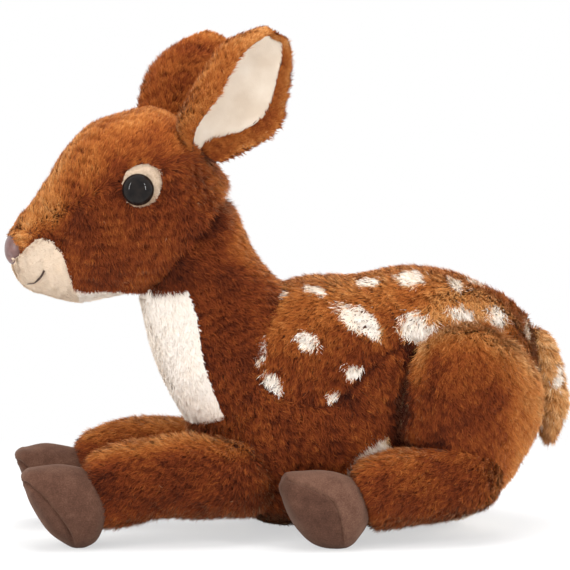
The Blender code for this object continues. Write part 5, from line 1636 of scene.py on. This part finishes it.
def nose_surface(rings, sides):
    """An ellipsoid, flatter below than above, with a shallow dent for each nostril."""
    polar = np.linspace(0, math.pi, rings + 2)[1:-1][:, None]
    turn = np.linspace(0, 2 * math.pi, sides, endpoint=False)[None, :]
    ball = np.stack([np.sin(polar) * np.cos(turn), np.sin(polar) * np.sin(turn),
                     np.cos(polar) * np.ones_like(turn)], -1).reshape(-1, 3)
    ball = np.vstack([ball, [[0, 0, 1], [0, 0, -1]]])
    points = np.sign(ball) * np.abs(ball) ** 0.88 * NOSE_SIZE / 2
    points[:, 1] *= 1 - 0.16 * np.clip(-ball[:, 2], 0, 1)
    for sign in SIDES.values():
        nostril = np.array([-0.62, sign * 0.62, -0.35])
        dent = np.linalg.norm((ball - nostril) * [1, 1, 1.4], axis=1)
        points -= ball * (NOSTRIL_DEPTH * bell(dent, 0, NOSTRIL_SIZE))[:, None]
    triangles = closed_triangles(points, rings, sides)
    return points + nose_place + head.forward * NOSE_FORWARD, triangles


nose = put_mesh("nose_button", *nose_surface(48, 64))
dress(nose, (satin,), ("nose",), "head")

# %% Mouth
mouth_dark = noisy_material("mouth_thread_dark", {"Scale": 2500},
                            [(0.3, (0.030, 0.016, 0.011)), (0.7, (0.085, 0.048, 0.034))],
                            {"Roughness": 0.8})
THREAD, THREAD_SIDES, THREAD_TURNS = 0.0013, 16, 23
# The near half of the smile: shares of the head's length and degrees round it. The far half
# mirrors it.
mouth_along = (0.856, 0.874, 0.906, 0.945, 0.972)
mouth_degrees = (-19, -27, -38.5, -52, -90)
along = mouth_along + mouth_along[-2::-1]
degrees = mouth_degrees + tuple(-180 - angle for angle in mouth_degrees[-2::-1])
path_rows = np.column_stack([np.arange(9), along, degrees])
path_along, path_degrees = read_rows(path_rows, np.linspace(0, 8, 161))
from_middle = np.abs(np.linspace(-4, 4, len(path_along)))
deep = 0.0007 + 0.0012 * (1 - smooth_step(from_middle, 0.3, 2.0))
path = head.skin(path_along, np.radians(path_degrees), deep)


# %% The mouth's thread
def tube(name, path, radius, sides):
    """A ring carried along a path, square to its heading, with a point at each end."""
    heading = unit(np.gradient(path, axis=0))
    side = unit(np.cross(heading, (1, 0, 0)))
    other = np.cross(heading, side)
    angles = np.linspace(0, 2 * math.pi, sides, endpoint=False)
    radius = np.broadcast_to(radius, (len(path), sides))[..., None]
    rings = (path[:, None] + radius * np.cos(angles)[None, :, None] * side[:, None]
             + radius * np.sin(angles)[None, :, None] * other[:, None])
    points = np.vstack([rings.reshape(-1, 3), path[:1], path[-1:]])
    return put_mesh(name, points, closed_triangles(points, len(path), sides))


twist = (np.linspace(0, THREAD_TURNS * 2 * math.pi, len(path))[:, None]
         + np.linspace(0, 2 * math.pi, THREAD_SIDES, endpoint=False))
thick = 0.42 + 0.58 * smooth_step(from_middle, 1.6, 2.6) + 0.5 * bell(from_middle, 0, 0.16)
strands = THREAD / 2 * thick[:, None] * (0.82 + 0.18 * np.abs(np.cos(twist)))
mouth = tube("mouth_stitch", path, strands, THREAD_SIDES)
dress(mouth, (mouth_dark,), ("mouth_thread",), "head")

# %% [markdown]
# ## What stays inside
# The filling, the pouch of pellets and the washers are never seen, but they are part of the toy
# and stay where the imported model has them. They still get finishes of their own: loose fibre,
# thin lawn and moulded plastic.

# %% Hidden parts
def hidden_finish(name, dark, light, scale, roughness, node_names):
    """A soft two-tone noise on parts that stay as packed."""
    made = cloth_material(name, dark, light, roughness, scale)
    for node in node_names:
        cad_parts[node].data.materials.clear()
        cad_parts[node].data.materials.append(made)


hidden_finish("fibre_fill", (0.74, 0.73, 0.71), (0.86, 0.85, 0.83), 300, 1.0,
              ("body_filling", "head_filling"))
hidden_finish("lawn_pouch", (0.62, 0.60, 0.55), (0.74, 0.72, 0.66), 1200, 0.9, ("pellet_pouch",))
hidden_finish("washer_plastic", (0.70, 0.70, 0.68), (0.80, 0.80, 0.78), 400, 0.45,
              ("eye_washer_left", "eye_washer_right", "nose_washer"))

# %% [markdown]
# ## The neck
# The head turns on the neck. On the real toy the cloth of the neck twists a little to follow it.
# Here the neck's skin and pile are carried by neither body; their places are written into their
# points.

# %% The neck's places written into its points
for piece in (bags["neck"]["piece"], neck_pile, bib_pile):
    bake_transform(piece)

# %% [markdown]
# ## Floor
# The floor is a plain pale sheet. Near the toy the camera sees its real shade and shadow, and
# farther out it fades into the white ground, so no edge or horizon shows.

# %% Floor
floor_points = np.array([[-4, -4, 0], [4, -4, 0], [4, 4, 0], [-4, 4, 0]], float)
floor = put_mesh("floor", floor_points, np.array([[0, 1, 2], [0, 2, 3]]), smooth=False)
paper, shader, nodes, links = new_material("pale_floor")
put_values(shader, {"Base Color": (0.86, 0.86, 0.86, 1), "Roughness": 0.9,
                    "Specular IOR Level": 0.0})
glow = nodes.new("ShaderNodeEmission")
put_values(glow, {"Color": (1, 1, 1, 1), "Strength": 1.0})
where = nodes.new("ShaderNodeTexCoord")
away = nodes.new("ShaderNodeVectorMath")
away.operation = "LENGTH"
links.new(where.outputs["Object"], away.inputs[0])
fade = nodes.new("ShaderNodeMapRange")
put_values(fade, {"From Min": 0.10, "From Max": 0.42, "To Min": 0.55, "To Max": 1.0})
fade.interpolation_type = "SMOOTHSTEP"
links.new(away.outputs["Value"], fade.inputs["Value"])
share = math_node(nodes, links, "MULTIPLY", seen_directly(nodes, links), fade.outputs["Result"])
choose = nodes.new("ShaderNodeMixShader")
links.new(share, choose.inputs[0])
links.new(shader.outputs[0], choose.inputs[1])
links.new(glow.outputs[0], choose.inputs[2])
links.new(choose.outputs[0], nodes["Material Output"].inputs["Surface"])
floor.data.materials.append(paper)

# %% View settings and the count of hairs
bpy.context.scene.view_settings.view_transform = "Standard"
print("hairs:", hair_total)
